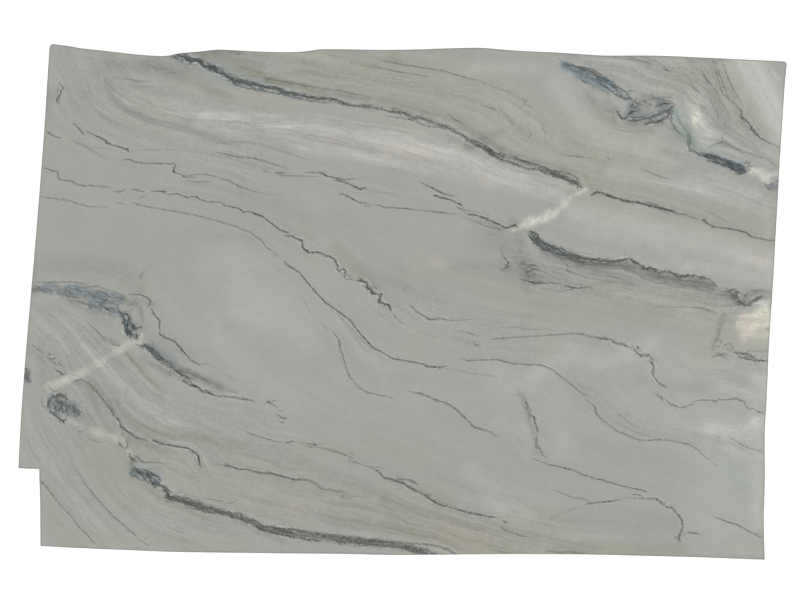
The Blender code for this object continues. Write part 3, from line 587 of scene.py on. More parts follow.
# Soft and hard stains in the stone, laid in this order: colour, amount, half width in mm, softness of its
# side from 0 to 1, how ragged its side is in mm, and its course. A stain's place in the list seeds its side.
STAINS = (
    # Warmer stone in the upper right and along the lower edge.
    ("a6a697", 0.55, 260, 1.0, 30, ((330, 60), (450, 90), (620, 170))),
    (WARM, 0.42, 240, 1.0, 30, ((600, 200), (700, 225), (780, 240))),
    (DRAB, 0.5, 200, 1.0, 30, ((690, 70), (760, 110))),
    (DRAB, 0.5, 260, 1.0, 30, ((110, 460), (250, 490), (400, 510), (560, 550))),
    (DRAB, 0.4, 150, 1.0, 30, ((620, 290), (680, 305), (720, 330))),
    ("a5a597", 0.3, 150, 1.0, 30, ((600, 300), (690, 318))),
    ("a8a598", 0.5, 60, 1.0, 15, ((185, 82), (225, 95), (290, 104))),
    (OLIVE, 0.3, 46, 1.0, 12, ((338, 248), (374, 288))),
    # Broad pale and shaded stone.
    (SHADOW, 0.1, 330, 1.0, 30, ((90, 380), (140, 440), (210, 480), (330, 500), (430, 500))),
    (WARM, 0.4, 130, 1.0, 20, ((420, 266), (545, 305))),
    (WARM, 0.35, 70, 1.0, 20, ((300, 445), (420, 455))),
    (WARM, 0.5, 60, 1.0, 20, ((50, 490), (60, 535), (240, 545))),
    (SMOKE, 0.36, 36, 1.0, 12, ((512, 222), (520, 240), (527, 288))),
    (SHADOW, 0.12, 40, 1.0, 12, ((340, 92), (400, 100), (440, 112))),
    (SHADOW, 0.14, 30, 1.0, 10, ((452, 138), (515, 180))),
    (PALE, 0.1, 90, 1.0, 20, ((232, 340), (258, 380), (290, 400))),
    ("b0b0a6", 0.22, 120, 1.0, 20, ((95, 160), (98, 222))),
    (SHADOW, 0.22, 26, 1.0, 8, ((446, 156), (520, 182))),
    (SHADOW, 0.35, 22, 1.0, 8, ((236, 73), (290, 85))),
    (SHADOW, 0.18, 24, 1.0, 8, ((462, 128), (500, 148))),
    (SHADOW, 0.16, 16, 1.0, 6, ((190, 452), (197, 458), (200, 466))),
    (SHADOW, 0.5, 24, 1.0, 8, ((190, 51), (212, 49), (240, 51))),
    (SHADOW, 0.65, 20, 1.0, 8, ((222, 67), (232, 72))),
    (SHADOW, 0.1, 80, 1.0, 10, ((118, 300), (142, 330), (165, 352))),
    (SHADOW, 0.35, 18, 1.0, 8, ((151, 350), (170, 368))),
    (SHADOW, 0.18, 24, 1.0, 8, ((536, 242), (560, 258), (612, 272))),
    (SHADOW, 0.3, 16, 1.0, 8, ((614, 108), (624, 116))),
    (SHADOW, 0.2, 22, 1.0, 8, ((660, 124), (674, 128))),
    (SHADOW, 0.16, 18, 1.0, 8, ((74, 284), (86, 286))),
    (OLIVE, 0.12, 70, 1.0, 12, ((340, 216), (405, 285), (445, 298))),
    (SHADOW, 0.3, 20, 1.0, 8, ((124, 301), (134, 305))),
    (SHADOW, 0.3, 12, 1.0, 6, ((136, 322), (141, 330))),
    (SHADOW, 0.22, 22, 1.0, 8, ((25, 342), (28, 352))),
    ("c4bcb0", 0.4, 14, 1.0, 8, ((736, 337), (742, 343))),
    (SHADOW, 0.26, 22, 1.0, 8, ((385, 100), (410, 104), (430, 112))),
    (SHADOW, 0.15, 22, 1.0, 8, ((465, 212), (485, 217))),
    (SHADOW, 0.12, 26, 1.0, 8, ((660, 150), (676, 158))),
    (SHADOW, 0.14, 22, 1.0, 8, ((50, 366), (58, 374))),
    (PALE, 0.18, 24, 1.0, 8, ((766, 205), (768, 235))),
    (PALE, 0.2, 20, 1.0, 8, ((765, 362), (765, 398))),
    (PALE, 0.2, 26, 1.0, 8, ((728, 70), (744, 104))),
    ("b5b5a6", 0.3, 22, 1.0, 8, ((505, 553), (545, 553))),
    (SHADOW, 0.14, 20, 1.0, 8, ((252, 531), (275, 538), (300, 542))),
    (PALE, 0.12, 40, 1.0, 15, ((338, 318), (362, 350), (384, 374))),
    (SHADOW, 0.12, 40, 1.0, 12, ((658, 208), (752, 234))),
    ("8a8c80", 0.75, 44, 1.0, 8, ((203, 54), (258, 68))),
    ("8b8c84", 0.28, 40, 1.0, 10, ((112, 64), (180, 70))),
    (SHADOW, 0.12, 40, 1.0, 12, ((130, 478), (160, 496), (200, 515), (240, 530))),
    (PALE, 0.14, 30, 1.0, 12, ((130, 372), (150, 392), (168, 398))),
    (PALE, 0.14, 34, 1.0, 12, ((66, 322), (94, 358))),
    (PALE, 0.14, 26, 1.0, 12, ((560, 58), (730, 64))),
    (PALE, 0.15, 40, 1.0, 12, ((590, 232), (650, 240), (682, 264))),
    (PALE, 0.28, 40, 1.0, 12, ((722, 386), (748, 392))),
    (PALE, 0.28, 45, 1.0, 12, ((728, 448), (742, 454))),
    (PALE, 0.22, 34, 1.0, 12, ((325, 497), (372, 501))),
    (PALE, 0.14, 40, 1.0, 12, ((490, 533), (540, 547))),
    (SHADOW, 0.07, 260, 1.0, 30, ((60, 320), (80, 400), (120, 470))),
    (SHADOW, 0.06, 300, 1.0, 30, ((70, 110), (90, 200), (120, 260), (260, 225))),
    (PALE, 0.14, 260, 1.0, 30, ((650, 380), (720, 420), (730, 520))),
    (SHADOW, 0.14, 110, 1.0, 20, ((488, 238), (525, 262), (575, 272))),
    (LENS, 0.85, 66, 1.0, 12, ((205, 122), (250, 124), (380, 140), (450, 154), (520, 178))),
    (LENS, 0.6, 56, 1.0, 12, ((300, 146), (400, 158), (560, 194))),
    (LENS, 0.55, 44, 1.0, 10, ((520, 180), (560, 194))),
    (PALE, 0.2, 46, 1.0, 12, ((612, 172), (660, 180), (720, 194), (770, 212))),
    (PALE, 0.24, 40, 1.0, 12, ((690, 264), (772, 284))),
    (PALE, 0.2, 50, 1.0, 12, ((620, 292), (690, 308))),
    (PALE, 0.22, 40, 1.0, 12, ((315, 508), (380, 516))),
    (PALE, 0.14, 60, 1.0, 12, ((470, 470), (490, 490))),
    (PALE, 0.1, 60, 1.0, 12, ((215, 315), (218, 335))),
    (SHADOW, 0.22, 60, 1.0, 12, ((150, 60), (200, 68), (250, 84))),
    (SHADOW, 0.1, 90, 1.0, 12, ((100, 85), (135, 95), (170, 90))),
    (SHADOW, 0.2, 40, 1.0, 12, ((455, 266), (505, 268))),
    (SHADOW, 0.16, 40, 1.0, 12, ((360, 270), (405, 288))),
    (SHADOW, 0.1, 40, 1.0, 12, ((430, 331), (485, 334))),
    (SHADOW, 0.16, 44, 1.0, 12, ((395, 478), (430, 494), (448, 505))),
    (SHADOW, 0.16, 40, 1.0, 12, ((72, 300), (110, 325))),
    (SHADOW, 0.14, 50, 1.0, 12, ((640, 378), (670, 388), (700, 388))),
    (SHADOW, 0.12, 60, 1.0, 12, ((540, 395), (548, 450))),
    (PALE, 0.1, 60, 1.0, 12, ((110, 100), (140, 98), (180, 108))),
    (PALE, 0.26, 75, 1.0, 20, ((555, 82), (572, 110), (600, 138), (650, 150), (668, 160))),
    (PALE, 0.18, 40, 1.0, 10, ((450, 76), (485, 66), (540, 68))),
    ("bfc0b9", 0.95, 92, 0.8, 6, ((748, 62), (786, 130))),
    (PALE, 0.36, 60, 1.0, 12, ((700, 95), (708, 130))),
    (PALE, 0.32, 95, 1.0, 15, ((575, 212), (720, 246), (768, 262))),
    (PALE, 0.2, 60, 1.0, 15, ((740, 255), (770, 264))),
    (PALE, 0.25, 50, 1.0, 15, ((690, 178), (752, 193))),
    (PALE, 0.16, 170, 1.0, 25, ((228, 262), (262, 300), (300, 325))),
    (PALE, 0.16, 60, 1.0, 20, ((232, 308), (262, 320))),
    (PALE, 0.28, 60, 1.0, 15, ((535, 374), (570, 352), (605, 360), (650, 345))),
    (PALE, 0.16, 110, 1.0, 25, ((500, 380), (545, 395), (560, 440))),
    (PALE, 0.42, 60, 1.0, 15, ((712, 425), (745, 430), (766, 420))),
    (PALE, 0.28, 52, 1.0, 15, ((756, 375), (757, 522))),
    (PALE, 0.2, 45, 1.0, 12, ((490, 503), (530, 512))),
    (PALE, 0.26, 22, 1.0, 6, ((82, 345), (138, 402), (162, 420), (190, 428))),
    (PALE, 0.18, 26, 1.0, 6, ((36, 322), (52, 332), (66, 350))),
    (PALE, 0.14, 22, 1.0, 6, ((52, 460), (66, 486), (84, 512))),
    (SHADOW, 0.2, 50, 1.0, 10, ((108, 62), (195, 76), (225, 96))),
    (SHADOW, 0.2, 16, 1.0, 5, ((93, 72), (103, 92), (120, 107), (150, 121), (200, 136), (238, 144))),
    (SHADOW, 0.12, 100, 1.0, 20, ((310, 74), (400, 82), (470, 105))),
    (SHADOW, 0.3, 26, 1.0, 10, ((325, 94), (400, 106), (450, 118), (502, 148))),
    (SHADOW, 0.3, 18, 1.0, 8, ((500, 148), (575, 172))),
    (SHADOW, 0.2, 70, 1.0, 12, ((36, 266), (80, 267), (120, 271), (134, 284))),
    (SHADOW, 0.12, 48, 1.0, 12, ((240, 194), (290, 212), (332, 232))),
    (SHADOW, 0.18, 60, 1.0, 15, ((496, 232), (506, 250), (512, 276))),
    (SMOKE, 0.6, 38, 1.0, 8, ((548, 250), (580, 260), (620, 265), (708, 287))),
    (SMOKE, 0.25, 46, 1.0, 12, ((530, 276), (560, 276), (712, 300))),
    (SHADOW, 0.1, 70, 1.0, 15, ((540, 302), (600, 308), (680, 320))),
    (SHADOW, 0.2, 90, 1.0, 20, ((330, 506), (400, 515), (470, 528), (525, 542))),
    (SMOKE, 0.35, 36, 1.0, 10, ((596, 272), (628, 281))),
    (SHADOW, 0.16, 44, 1.0, 12, ((136, 441), (164, 446))),
    (PALE, 0.2, 30, 1.0, 10, ((514, 547), (540, 550))),
    (SAND, 0.4, 26, 1.0, 10, ((734, 548), (758, 550))),
    (SHADOW, 0.14, 44, 1.0, 12, ((160, 340), (190, 358))),
    (SHADOW, 0.12, 40, 1.0, 12, ((205, 233), (250, 241))),
    (SHADOW, 0.12, 34, 1.0, 12, ((285, 227), (312, 236))),
    (SHADOW, 0.12, 44, 1.0, 12, ((42, 95), (46, 125))),
    (SHADOW, 0.14, 30, 1.0, 12, ((62, 297), (82, 302))),
    (SHADOW, 0.14, 30, 1.0, 12, ((140, 292), (150, 306))),
    (SHADOW, 0.45, 14, 1.0, 6, ((718, 142), (728, 146))),
    (SHADOW, 0.5, 9, 0.9, 5, ((139, 277), (150, 265))),
    (PALE, 0.12, 50, 1.0, 12, ((496, 421), (520, 430))),
    (PALE, 0.14, 40, 1.0, 12, ((764, 380), (768, 396))),
    (PALE, 0.14, 36, 1.0, 12, ((670, 320), (698, 322))),
    (WARM, 0.35, 60, 1.0, 20, ((350, 430), (420, 455))),
    (PALE, 0.16, 34, 1.0, 10, ((97, 80), (106, 95))),
    (SAND, 0.5, 26, 1.0, 10, ((600, 548), (632, 549))),
    (SAGE, 0.16, 30, 1.0, 10, ((662, 140), (676, 136))),
    (SMOKE, 0.3, 30, 1.0, 10, ((704, 281), (728, 300))),
    (SHADOW, 0.12, 80, 1.0, 20, ((540, 525), (620, 520), (672, 524))),
    (OLIVE, 0.4, 24, 1.0, 6, ((126, 354), (162, 392))),
    (OLIVE, 0.28, 30, 1.0, 8, ((88, 380), (122, 416), (150, 432), (248, 446))),
    (SHADOW, 0.06, 34, 1.0, 10, ((48, 306), (92, 356))),
    (SHADOW, 0.24, 28, 1.0, 8, ((588, 94), (598, 110), (612, 122))),
    (SHADOW, 0.16, 26, 1.0, 8, ((688, 60), (728, 116))),
    (SHADOW, 0.25, 48, 1.0, 10, ((722, 122), (742, 130), (760, 142))),
    (SHADOW, 0.1, 55, 1.0, 15, ((515, 128), (560, 152), (600, 165))),
    (SHADOW, 0.4, 16, 1.0, 4, ((102, 337), (120, 345))),
    (SHADOW, 0.45, 9, 0.9, 4, ((392, 108), (430, 120))),
    (SLATE, 0.7, 16, 0.7, 7, ((144, 345), (154, 352))),
    (SHADOW, 0.4, 30, 1.0, 8, ((634, 104), (652, 98))),
    (SHADOW, 0.32, 18, 1.0, 4, ((522, 400), (532, 425), (537, 452))),
    (SMOKE, 0.55, 28, 1.0, 6, ((180, 368), (220, 387))),
    (SHADOW, 0.4, 26, 1.0, 8, ((82, 410), (92, 424))),
    (SHADOW, 0.22, 14, 1.0, 4, ((468, 343), (478, 342))),
    (SMOKE, 0.28, 26, 1.0, 6, ((724, 316), (712, 346))),
    (OLIVE, 0.5, 34, 1.0, 10, ((236, 69), (322, 93))),
    (MIST, 0.35, 16, 0.9, 6, ((212, 60), (236, 74), (262, 81))),
    (MIST, 0.3, 12, 0.9, 6, ((205, 72), (230, 86))),
    (OLIVE, 0.3, 36, 1.0, 8, ((392, 55), (396, 60))),
    (OLIVE, 0.25, 50, 1.0, 15, ((380, 530), (450, 538), (500, 548), (680, 550))),
    (OLIVE, 0.2, 20, 1.0, 6, ((582, 172), (592, 190))),
    (ROSE, 0.4, 34, 1.0, 12, ((383, 150), (428, 153))),
    (ROSE, 0.3, 30, 1.0, 12, ((325, 136), (334, 138))),
    (ROSE, 0.25, 30, 1.0, 12, ((484, 182), (490, 186))),
    (ROSE, 0.22, 30, 1.0, 12, ((434, 262), (444, 264))),
    (ROSE, 0.25, 30, 1.0, 12, ((752, 264), (764, 262))),
    (ROSE, 0.22, 30, 1.0, 12, ((292, 504), (300, 506))),
    ("a9998c", 0.3, 70, 1.0, 12, ((440, 534), (480, 540))),
    ("a1a9a5", 0.45, 60, 1.0, 12, ((728, 470), (744, 488))),
    (LILAC, 0.25, 24, 1.0, 6, ((565, 55), (590, 60))),
    (LILAC, 0.25, 24, 1.0, 6, ((630, 58), (652, 60))),
    (LILAC, 0.2, 24, 1.0, 6, ((692, 60), (718, 61))),
    # The blue pools and the skirts of the heavy veins.
    ("50605f", 0.6, 11, 0.7, 5, ((178, 55), (229, 77), (300, 95))),
    ("5c696c", 0.75, 16, 0.8, 7, ((170, 53), (190, 62))),
    ("5e7470", 0.55, 12, 0.8, 5, ((238, 82), (262, 87))),
    (SLATE, 0.45, 9, 0.8, 4, ((228, 82), (300, 98))),
    (SHADOW, 0.45, 9, 0.9, 4, ((300, 96), (400, 113), (450, 128), (478, 143))),
    (SHADOW, 0.7, 12, 0.8, 5, ((480, 145), (494, 155), (502, 156))),
    (SHADOW, 0.6, 10, 0.8, 5, ((540, 168), (560, 174), (577, 183))),
    (LILAC, 0.35, 6, 0.8, 4, ((546, 170), (558, 174))),
    (MIST, 0.55, 12, 0.7, 4, ((560, 65), (562, 71), (577, 75), (590, 82))),
    (SLATE, 0.85, 24, 0.6, 7, ((564, 64), (608, 84))),
    (NAVY, 0.35, 10, 0.7, 6, ((572, 66), (606, 81))),
    (SLATE, 0.45, 24, 0.6, 7, ((604, 82), (626, 96))),
    (SAGE, 0.35, 20, 0.9, 6, ((592, 86), (604, 91))),
    ("7b8282", 0.62, 30, 0.7, 10, ((633, 109), (634, 114), (642, 119), (658, 120), (668, 112), (660, 102))),
    ("868c8b", 0.35, 14, 0.7, 6, ((624, 113), (634, 124))),
    (SHADOW, 0.35, 18, 0.8, 6, ((636, 103), (648, 104))),
    (SAGE, 0.45, 22, 0.8, 8, ((672, 128), (680, 138))),
    (MIST, 0.35, 24, 0.8, 8, ((676, 112), (684, 122))),
    ("c9cbc1", 0.6, 36, 0.8, 12, ((688, 96), (697, 112), (700, 130), (706, 142))),
    (CREAM, 0.55, 19, 0.8, 10, ((696, 102), (697, 112), (694, 122))),
    (SAGE, 0.65, 28, 0.8, 8, ((686, 127), (691, 143))),
    (MIST, 0.55, 12, 0.8, 5, ((708, 153), (744, 163))),
    (MIST, 0.3, 14, 0.8, 6, ((706, 146), (718, 150))),
    (NAVY, 0.9, 22, 0.6, 4, ((710, 157), (742, 169))),
    (LILAC, 0.7, 18, 0.6, 4, ((770, 186), (780, 187))),
    (QUARTZ, 0.6, 19, 0.7, 8, ((752, 171), (761, 172), (767, 180))),
    ("dcdddb", 0.5, 14, 0.7, 5, ((768, 174), (777, 173))),
    (NAVY, 0.6, 8, 0.7, 4, ((736, 171), (744, 172))),
    (SHADOW, 0.75, 18, 0.6, 5, ((530, 234), (544, 246), (582, 259))),
    ("4f5b5f", 0.92, 16, 0.8, 5, ((533, 237), (541, 244), (582, 259))),
    (SMOKE, 0.65, 16, 0.9, 5, ((560, 251), (582, 259), (632, 263), (652, 272), (700, 281), (714, 286))),
    (LILAC, 0.5, 9, 0.8, 4, ((535, 242), (550, 251))),
    (SLATE, 0.55, 12, 0.8, 6, ((526, 272), (534, 270))),
    (LILAC, 0.5, 7, 0.8, 4, ((618, 199), (650, 203))),
    (SLATE, 0.62, 30, 0.6, 10, ((46, 288), (80, 291), (118, 300))),
    ("7d7b80", 0.8, 15, 0.9, 7, ((27, 289), (46, 288))),
    (SLATE, 0.58, 27, 0.6, 9, ((92, 303), (114, 311))),
    (NAVY, 0.88, 26, 0.7, 6, ((124, 316), (133, 335))),
    ("5f6b5c", 0.6, 14, 0.8, 5, ((131, 463), (132, 475))),
    ("828f93", 0.6, 22, 0.8, 9, ((148, 344), (172, 362))),
    ("6f777b", 0.7, 36, 0.6, 12, ((51, 402), (62, 407), (73, 410))),
    ("77747c", 0.75, 16, 0.7, 6, ((23, 370), (26, 380))),
    (MIST, 0.6, 14, 0.7, 5, ((140, 466), (154, 471), (161, 477))),
    (SAGE, 0.5, 13, 0.8, 5, ((130, 462), (131, 474))),
    (NAVY, 0.92, 24, 0.7, 6, ((135, 472), (157, 480))),
    (SHADOW, 0.6, 12, 0.7, 5, ((166, 496), (236, 516), (258, 526), (300, 534))),
    (SHADOW, 0.8, 17, 0.7, 5, ((262, 528), (400, 545), (430, 554))),
    (LILAC, 0.35, 8, 0.8, 4, ((205, 507), (300, 534), (345, 541))),
    (LILAC, 0.55, 10, 0.8, 5, ((736, 353), (754, 357))),
    (SMOKE, 0.5, 26, 1.0, 6, ((650, 276), (700, 285))),
    (SMOKE, 0.3, 60, 1.0, 12, ((520, 262), (640, 282))),
    (SMOKE, 0.25, 24, 0.9, 8, ((745, 293), (768, 292))),
    (SMOKE, 0.5, 34, 1.0, 8, ((726, 292), (734, 300), (742, 304))),
    ("868b8a", 0.55, 44, 0.9, 10, ((636, 113), (650, 113), (665, 107))),
    (SLATE, 0.45, 22, 0.8, 8, ((576, 74), (608, 90))),
    (SAGE, 0.45, 20, 0.8, 8, ((674, 112), (690, 144), (702, 154))),
    (SHADOW, 0.25, 30, 1.0, 8, ((606, 102), (614, 113), (628, 124), (650, 130))),
    # The quartz seams and patches.
    (QUARTZ, 0.6, 14, 0.7, 6, ((586, 189), (570, 197), (561, 207), (551, 214))),
    (QUARTZ, 0.6, 28, 0.45, 10, ((552, 214), (528, 223))),
    (CREAM, 0.45, 12, 0.8, 8, ((546, 216), (532, 222))),
    (QUARTZ, 0.52, 14, 0.8, 7, ((528, 224), (512, 229))),
    ("c0c1b4", 0.5, 25, 0.45, 9, ((49, 386), (84, 371))),
    ("babcb2", 0.36, 19, 0.5, 9, ((80, 373), (102, 360))),
    ("b8bab0", 0.5, 20, 0.5, 9, ((98, 362), (120, 348))),
    ("bdbfb4", 0.4, 24, 0.45, 9, ((116, 350), (137, 338))),
    (QUARTZ, 0.22, 10, 0.7, 8, ((60, 381), (84, 371))),
    (QUARTZ, 0.22, 11, 0.7, 8, ((118, 348), (134, 339))),
    (QUARTZ, 0.45, 6, 0.6, 4, ((139, 345), (142, 332))),
    (CREAM, 0.22, 14, 0.8, 8, ((48, 384), (66, 380))),
    (QUARTZ, 0.35, 24, 0.7, 12, ((92, 431), (116, 438))),
    (QUARTZ, 0.35, 16, 0.7, 8, ((122, 441), (131, 455))),
    (QUARTZ, 0.3, 18, 0.8, 10, ((68, 420), (80, 426))),
    (BUTTER, 0.68, 46, 0.45, 8, ((744, 323), (769, 318))),
    (BUTTER, 0.5, 30, 0.7, 8, ((744, 335), (769, 333))),
    (CREAM, 0.55, 24, 0.8, 12, ((754, 314), (766, 306))),
    (CREAM, 0.35, 18, 0.8, 10, ((752, 326), (766, 322))),
    (ROSE, 0.35, 26, 0.8, 6, ((744, 314), (744, 340))),
    ("b2b7a6", 0.5, 20, 0.7, 5, ((753, 341), (768, 342))),
    ("dfe0da", 0.45, 12, 0.8, 6, ((752, 303), (768, 301))),
    (PALE, 0.45, 9, 0.9, 4, ((745, 428), (752, 421), (763, 416))),
    # Last touches of shade and pale stone.
    (SLATE, 0.35, 13, 0.7, 5, ((630, 99), (629, 106), (626, 113), (627, 121), (636, 124))),
    (SLATE, 0.4, 16, 0.8, 6, ((52, 412), (60, 416))),
    (LILAC, 0.3, 14, 0.9, 6, ((200, 58), (216, 62))),
    (SHADOW, 0.3, 24, 1.0, 8, ((262, 528), (290, 534))),
    (SHADOW, 0.3, 34, 1.0, 10, ((470, 148), (484, 138), (500, 132))),
    (SHADOW, 0.25, 26, 1.0, 8, ((142, 357), (156, 366), (170, 373))),
    (SHADOW, 0.22, 34, 1.0, 8, ((30, 276), (33, 292))),
    (SHADOW, 0.2, 40, 1.0, 10, ((40, 356), (46, 384))),
    (SHADOW, 0.18, 40, 1.0, 12, ((40, 86), (54, 98))),
    (SHADOW, 0.25, 18, 1.0, 6, ((696, 122), (702, 132))),
    (SHADOW, 0.25, 18, 1.0, 6, ((490, 276), (504, 279))),
    (SHADOW, 0.25, 18, 1.0, 6, ((664, 150), (678, 154))),
    (SHADOW, 0.3, 18, 1.0, 6, ((180, 492), (197, 499))),
    (PALE, 0.25, 18, 1.0, 6, ((706, 106), (714, 114))),
    (PALE, 0.3, 16, 1.0, 6, ((772, 70), (779, 78))),
    (SHADOW, 0.25, 22, 1.0, 8, ((224, 74), (238, 80))),
    (SHADOW, 0.22, 26, 1.0, 8, ((60, 290), (84, 299))),
    (SHADOW, 0.22, 24, 1.0, 8, ((122, 300), (156, 303))),
    (SHADOW, 0.25, 24, 1.0, 8, ((142, 470), (158, 470))),
    (SHADOW, 0.2, 30, 1.0, 8, ((238, 520), (282, 541))),
    (PALE, 0.25, 22, 1.0, 8, ((722, 119), (760, 147), (779, 158))),
    (NAVY, 0.6, 14, 0.7, 5, ((700, 153.5), (713, 158))),
    (SHADOW, 0.4, 16, 0.8, 8, ((728, 292), (740, 302), (762, 296))),
    (SHADOW, 0.4, 28, 0.8, 10, ((524, 266), (533, 279))),
)

# How strongly the bedding shows: amount, half width in mm and course. The last ones lie over the first ones.
BEDDING = (
    (1.2, 230, ((80, 80), (160, 110), (240, 150))),
    (1.5, 110, ((210, 120), (330, 135), (450, 155), (550, 185))),
    (1.3, 150, ((260, 65), (400, 85), (500, 110), (560, 150))),
    (1.9, 170, ((620, 70), (700, 90), (740, 140))),
    (1.0, 160, ((560, 160), (700, 185), (770, 205))),
    (1.5, 130, ((540, 275), (640, 285), (730, 305))),
    (1.4, 220, ((60, 330), (110, 400), (170, 430), (260, 450))),
    (1.0, 200, ((40, 440), (80, 500), (130, 530))),
    (1.2, 220, ((160, 520), (300, 490), (420, 520), (560, 545))),
    (1.0, 130, ((380, 300), (440, 325), (520, 335))),
    (0.9, 100, ((590, 395), (640, 420), (720, 440))),
    (0.8, 120, ((700, 370), (760, 370))),
    (0.1, 190, ((50, 235), (150, 240), (230, 290), (280, 350))),
    (0.15, 120, ((310, 205), (400, 228), (470, 240))),
    (0.45, 100, ((590, 225), (660, 245), (740, 265))),
    (0.3, 150, ((360, 370), (430, 400), (460, 460))),
    (0.2, 160, ((600, 470), (700, 480), (740, 510))),
    (0.15, 70, ((440, 180), (520, 205))),
)


# Places on the survey grid.
def to_metres(cells):
    """Places on the survey grid as X and Y in metres."""
    return np.stack([cells[:, 0] - MIDDLE[0], MIDDLE[1] - cells[:, 1]], axis=1) * CELL


def to_cells(places):
    """X and Y in metres as columns and rows of the survey grid."""
    return np.stack([places[:, 0] / CELL + MIDDLE[0], MIDDLE[1] - places[:, 1] / CELL], axis=1)


def stations(course):
    """A course's stations as columns and rows, without the scale that some of them carry."""
    return np.array([station[:2] for station in course], float)


def measure(course, places):
    """How places lie to a course of columns and rows, in cells: signed distance, position along the course
    counted in stations, and how far each place is past the course's ends."""
    best = np.full(len(places), 1e9)
    lead = np.zeros(len(places))
    signed = np.full(len(places), 1e9)
    position = np.zeros(len(places))
    past = np.zeros(len(places))
    last = len(course) - 2
    for i in range(last + 1):
        step = course[i + 1] - course[i]
        length = math.hypot(*step)
        rel = places - course[i]
        share = rel @ step / length**2
        held = np.clip(share, 0.0, 1.0)
        away = rel - held[:, None] * step
        distance = np.hypot(away[:, 0], away[:, 1])
        across = (step[0] * rel[:, 1] - step[1] * rel[:, 0]) / length
        closer = (distance < best - 1e-6) | ((distance < best + 1e-6) & (np.abs(across) > lead))
        over = np.zeros(len(places))
        if i == 0:
            over = np.maximum(over, -share * length)
        if i == last:
            over = np.maximum(over, (share - 1.0) * length)
        best = np.where(closer, distance, best)
        lead = np.where(closer, np.abs(across), lead)
        signed = np.where(closer, np.where(across < 0, -distance, distance), signed)
        position = np.where(closer, i + held, position)
        past = np.where(closer, over, past)
    return signed, position, past


def beside(course, places, reach):
    """Indices of the places within reach of the box round a course, and how those places lie to it."""
    course = stations(course)
    low = course.min(axis=0) - reach
    high = course.max(axis=0) + reach
    near = np.nonzero(np.all((places > low) & (places < high), axis=1))[0]
    return near, *measure(course, places[near])


def split(start, end, spacing):
    """Points from the start towards the end, no further apart than the spacing. The end isn't among them."""
    count = max(1, int(np.ceil(np.hypot(*(end - start)) / spacing)))
    return start + (end - start) * np.linspace(0.0, 1.0, count, endpoint=False)[:, None]


def walk(course, spacing):
    """Points along a course, in cells."""
    course = stations(course)
    parts = [split(start, end, spacing) for start, end in zip(course[:-1], course[1:])]
    return np.concatenate([*parts, course[-1:]])


def mark(spots, reach):
    """A survey-grid mask that is true within reach cells of the spots."""
    mask = np.zeros((SURVEY[1], SURVEY[0]), bool)
    extent = np.arange(-int(reach), int(reach) + 1)
    across, down = np.meshgrid(extent, extent)
    inside = across**2 + down**2 <= reach**2
    columns = np.round(spots[:, 0]).astype(int)[:, None] + across[inside]
    rows = np.round(spots[:, 1]).astype(int)[:, None] + down[inside]
    mask[np.clip(rows, 0, SURVEY[1] - 1), np.clip(columns, 0, SURVEY[0] - 1)] = True
    return mask


def smooth_step(value):
    """A rise from 0 to 1 that starts and ends softly."""
    held = np.clip(value, 0.0, 1.0)
    return held * held * (3.0 - 2.0 * held)


LATTICE = 256  # points to a side after which the noise repeats


def wander(places, size, seed):
    """Smooth noise from -1 to 1 whose features are about one size across, in the units of the places."""
    rng = np.random.default_rng(seed)
    lattice = rng.uniform(-1.0, 1.0, (LATTICE, LATTICE))
    scaled = places / size
    whole = np.floor(scaled).astype(int)
    u, v = smooth_step(scaled - whole).T
    i, j = (whole % LATTICE).T
    right, below = (i + 1) % LATTICE, (j + 1) % LATTICE
    top = lattice[i, j] * (1 - u) + lattice[right, j] * u
    bottom = lattice[i, below] * (1 - u) + lattice[right, below] * u
    return top * (1 - v) + bottom * v


# Colours.
def linear(hex_code, alpha=1.0):
    """An sRGB hex value as a linear colour."""
    shares = [int(hex_code[i : i + 2], 16) / 255 for i in (0, 2, 4)]
    turned = [s / 12.92 if s <= 0.04045 else ((s + 0.055) / 1.055) ** 2.4 for s in shares]
    return (*turned, alpha)


# The stone's fields, each worked out for any places on the survey grid.
VEIN_CHANNELS = 6
BAND_CHANNELS = 3
VEIN_REACH = 5.0  # cells from its course at which a vein has faded out
VEIN_FULL = 3.0  # cells from its course up to which it keeps all its ink
VEIN_ROOM = 8.0  # cells kept between veins of one channel
TIP = 0.8  # stations over which a vein narrows towards its tip
TIP_WIDTH = 0.45  # its width at the tip, as a share
END_FADE = 1.2  # cells past its end over which it fades out
MOST_INK = 1.15  # the most by which a station's scale deepens the ink


def share_channels(lines, channels):
    """Which channel each line is drawn in, so that lines that meet or lie close together are in different
    ones."""
    taken = [np.zeros((SURVEY[1], SURVEY[0]), bool) for _ in range(channels)]
    chosen = []
    for *_, course in lines:
        spots = np.round(walk(course, 0.7)).astype(int)
        columns = np.clip(spots[:, 0], 0, SURVEY[0] - 1)
        rows = np.clip(spots[:, 1], 0, SURVEY[1] - 1)
        channel = int(np.argmin([int(mask[rows, columns].sum()) for mask in taken]))
        taken[channel] |= mark(walk(course, 1.0), VEIN_ROOM)
        chosen.append(channel)
    return chosen


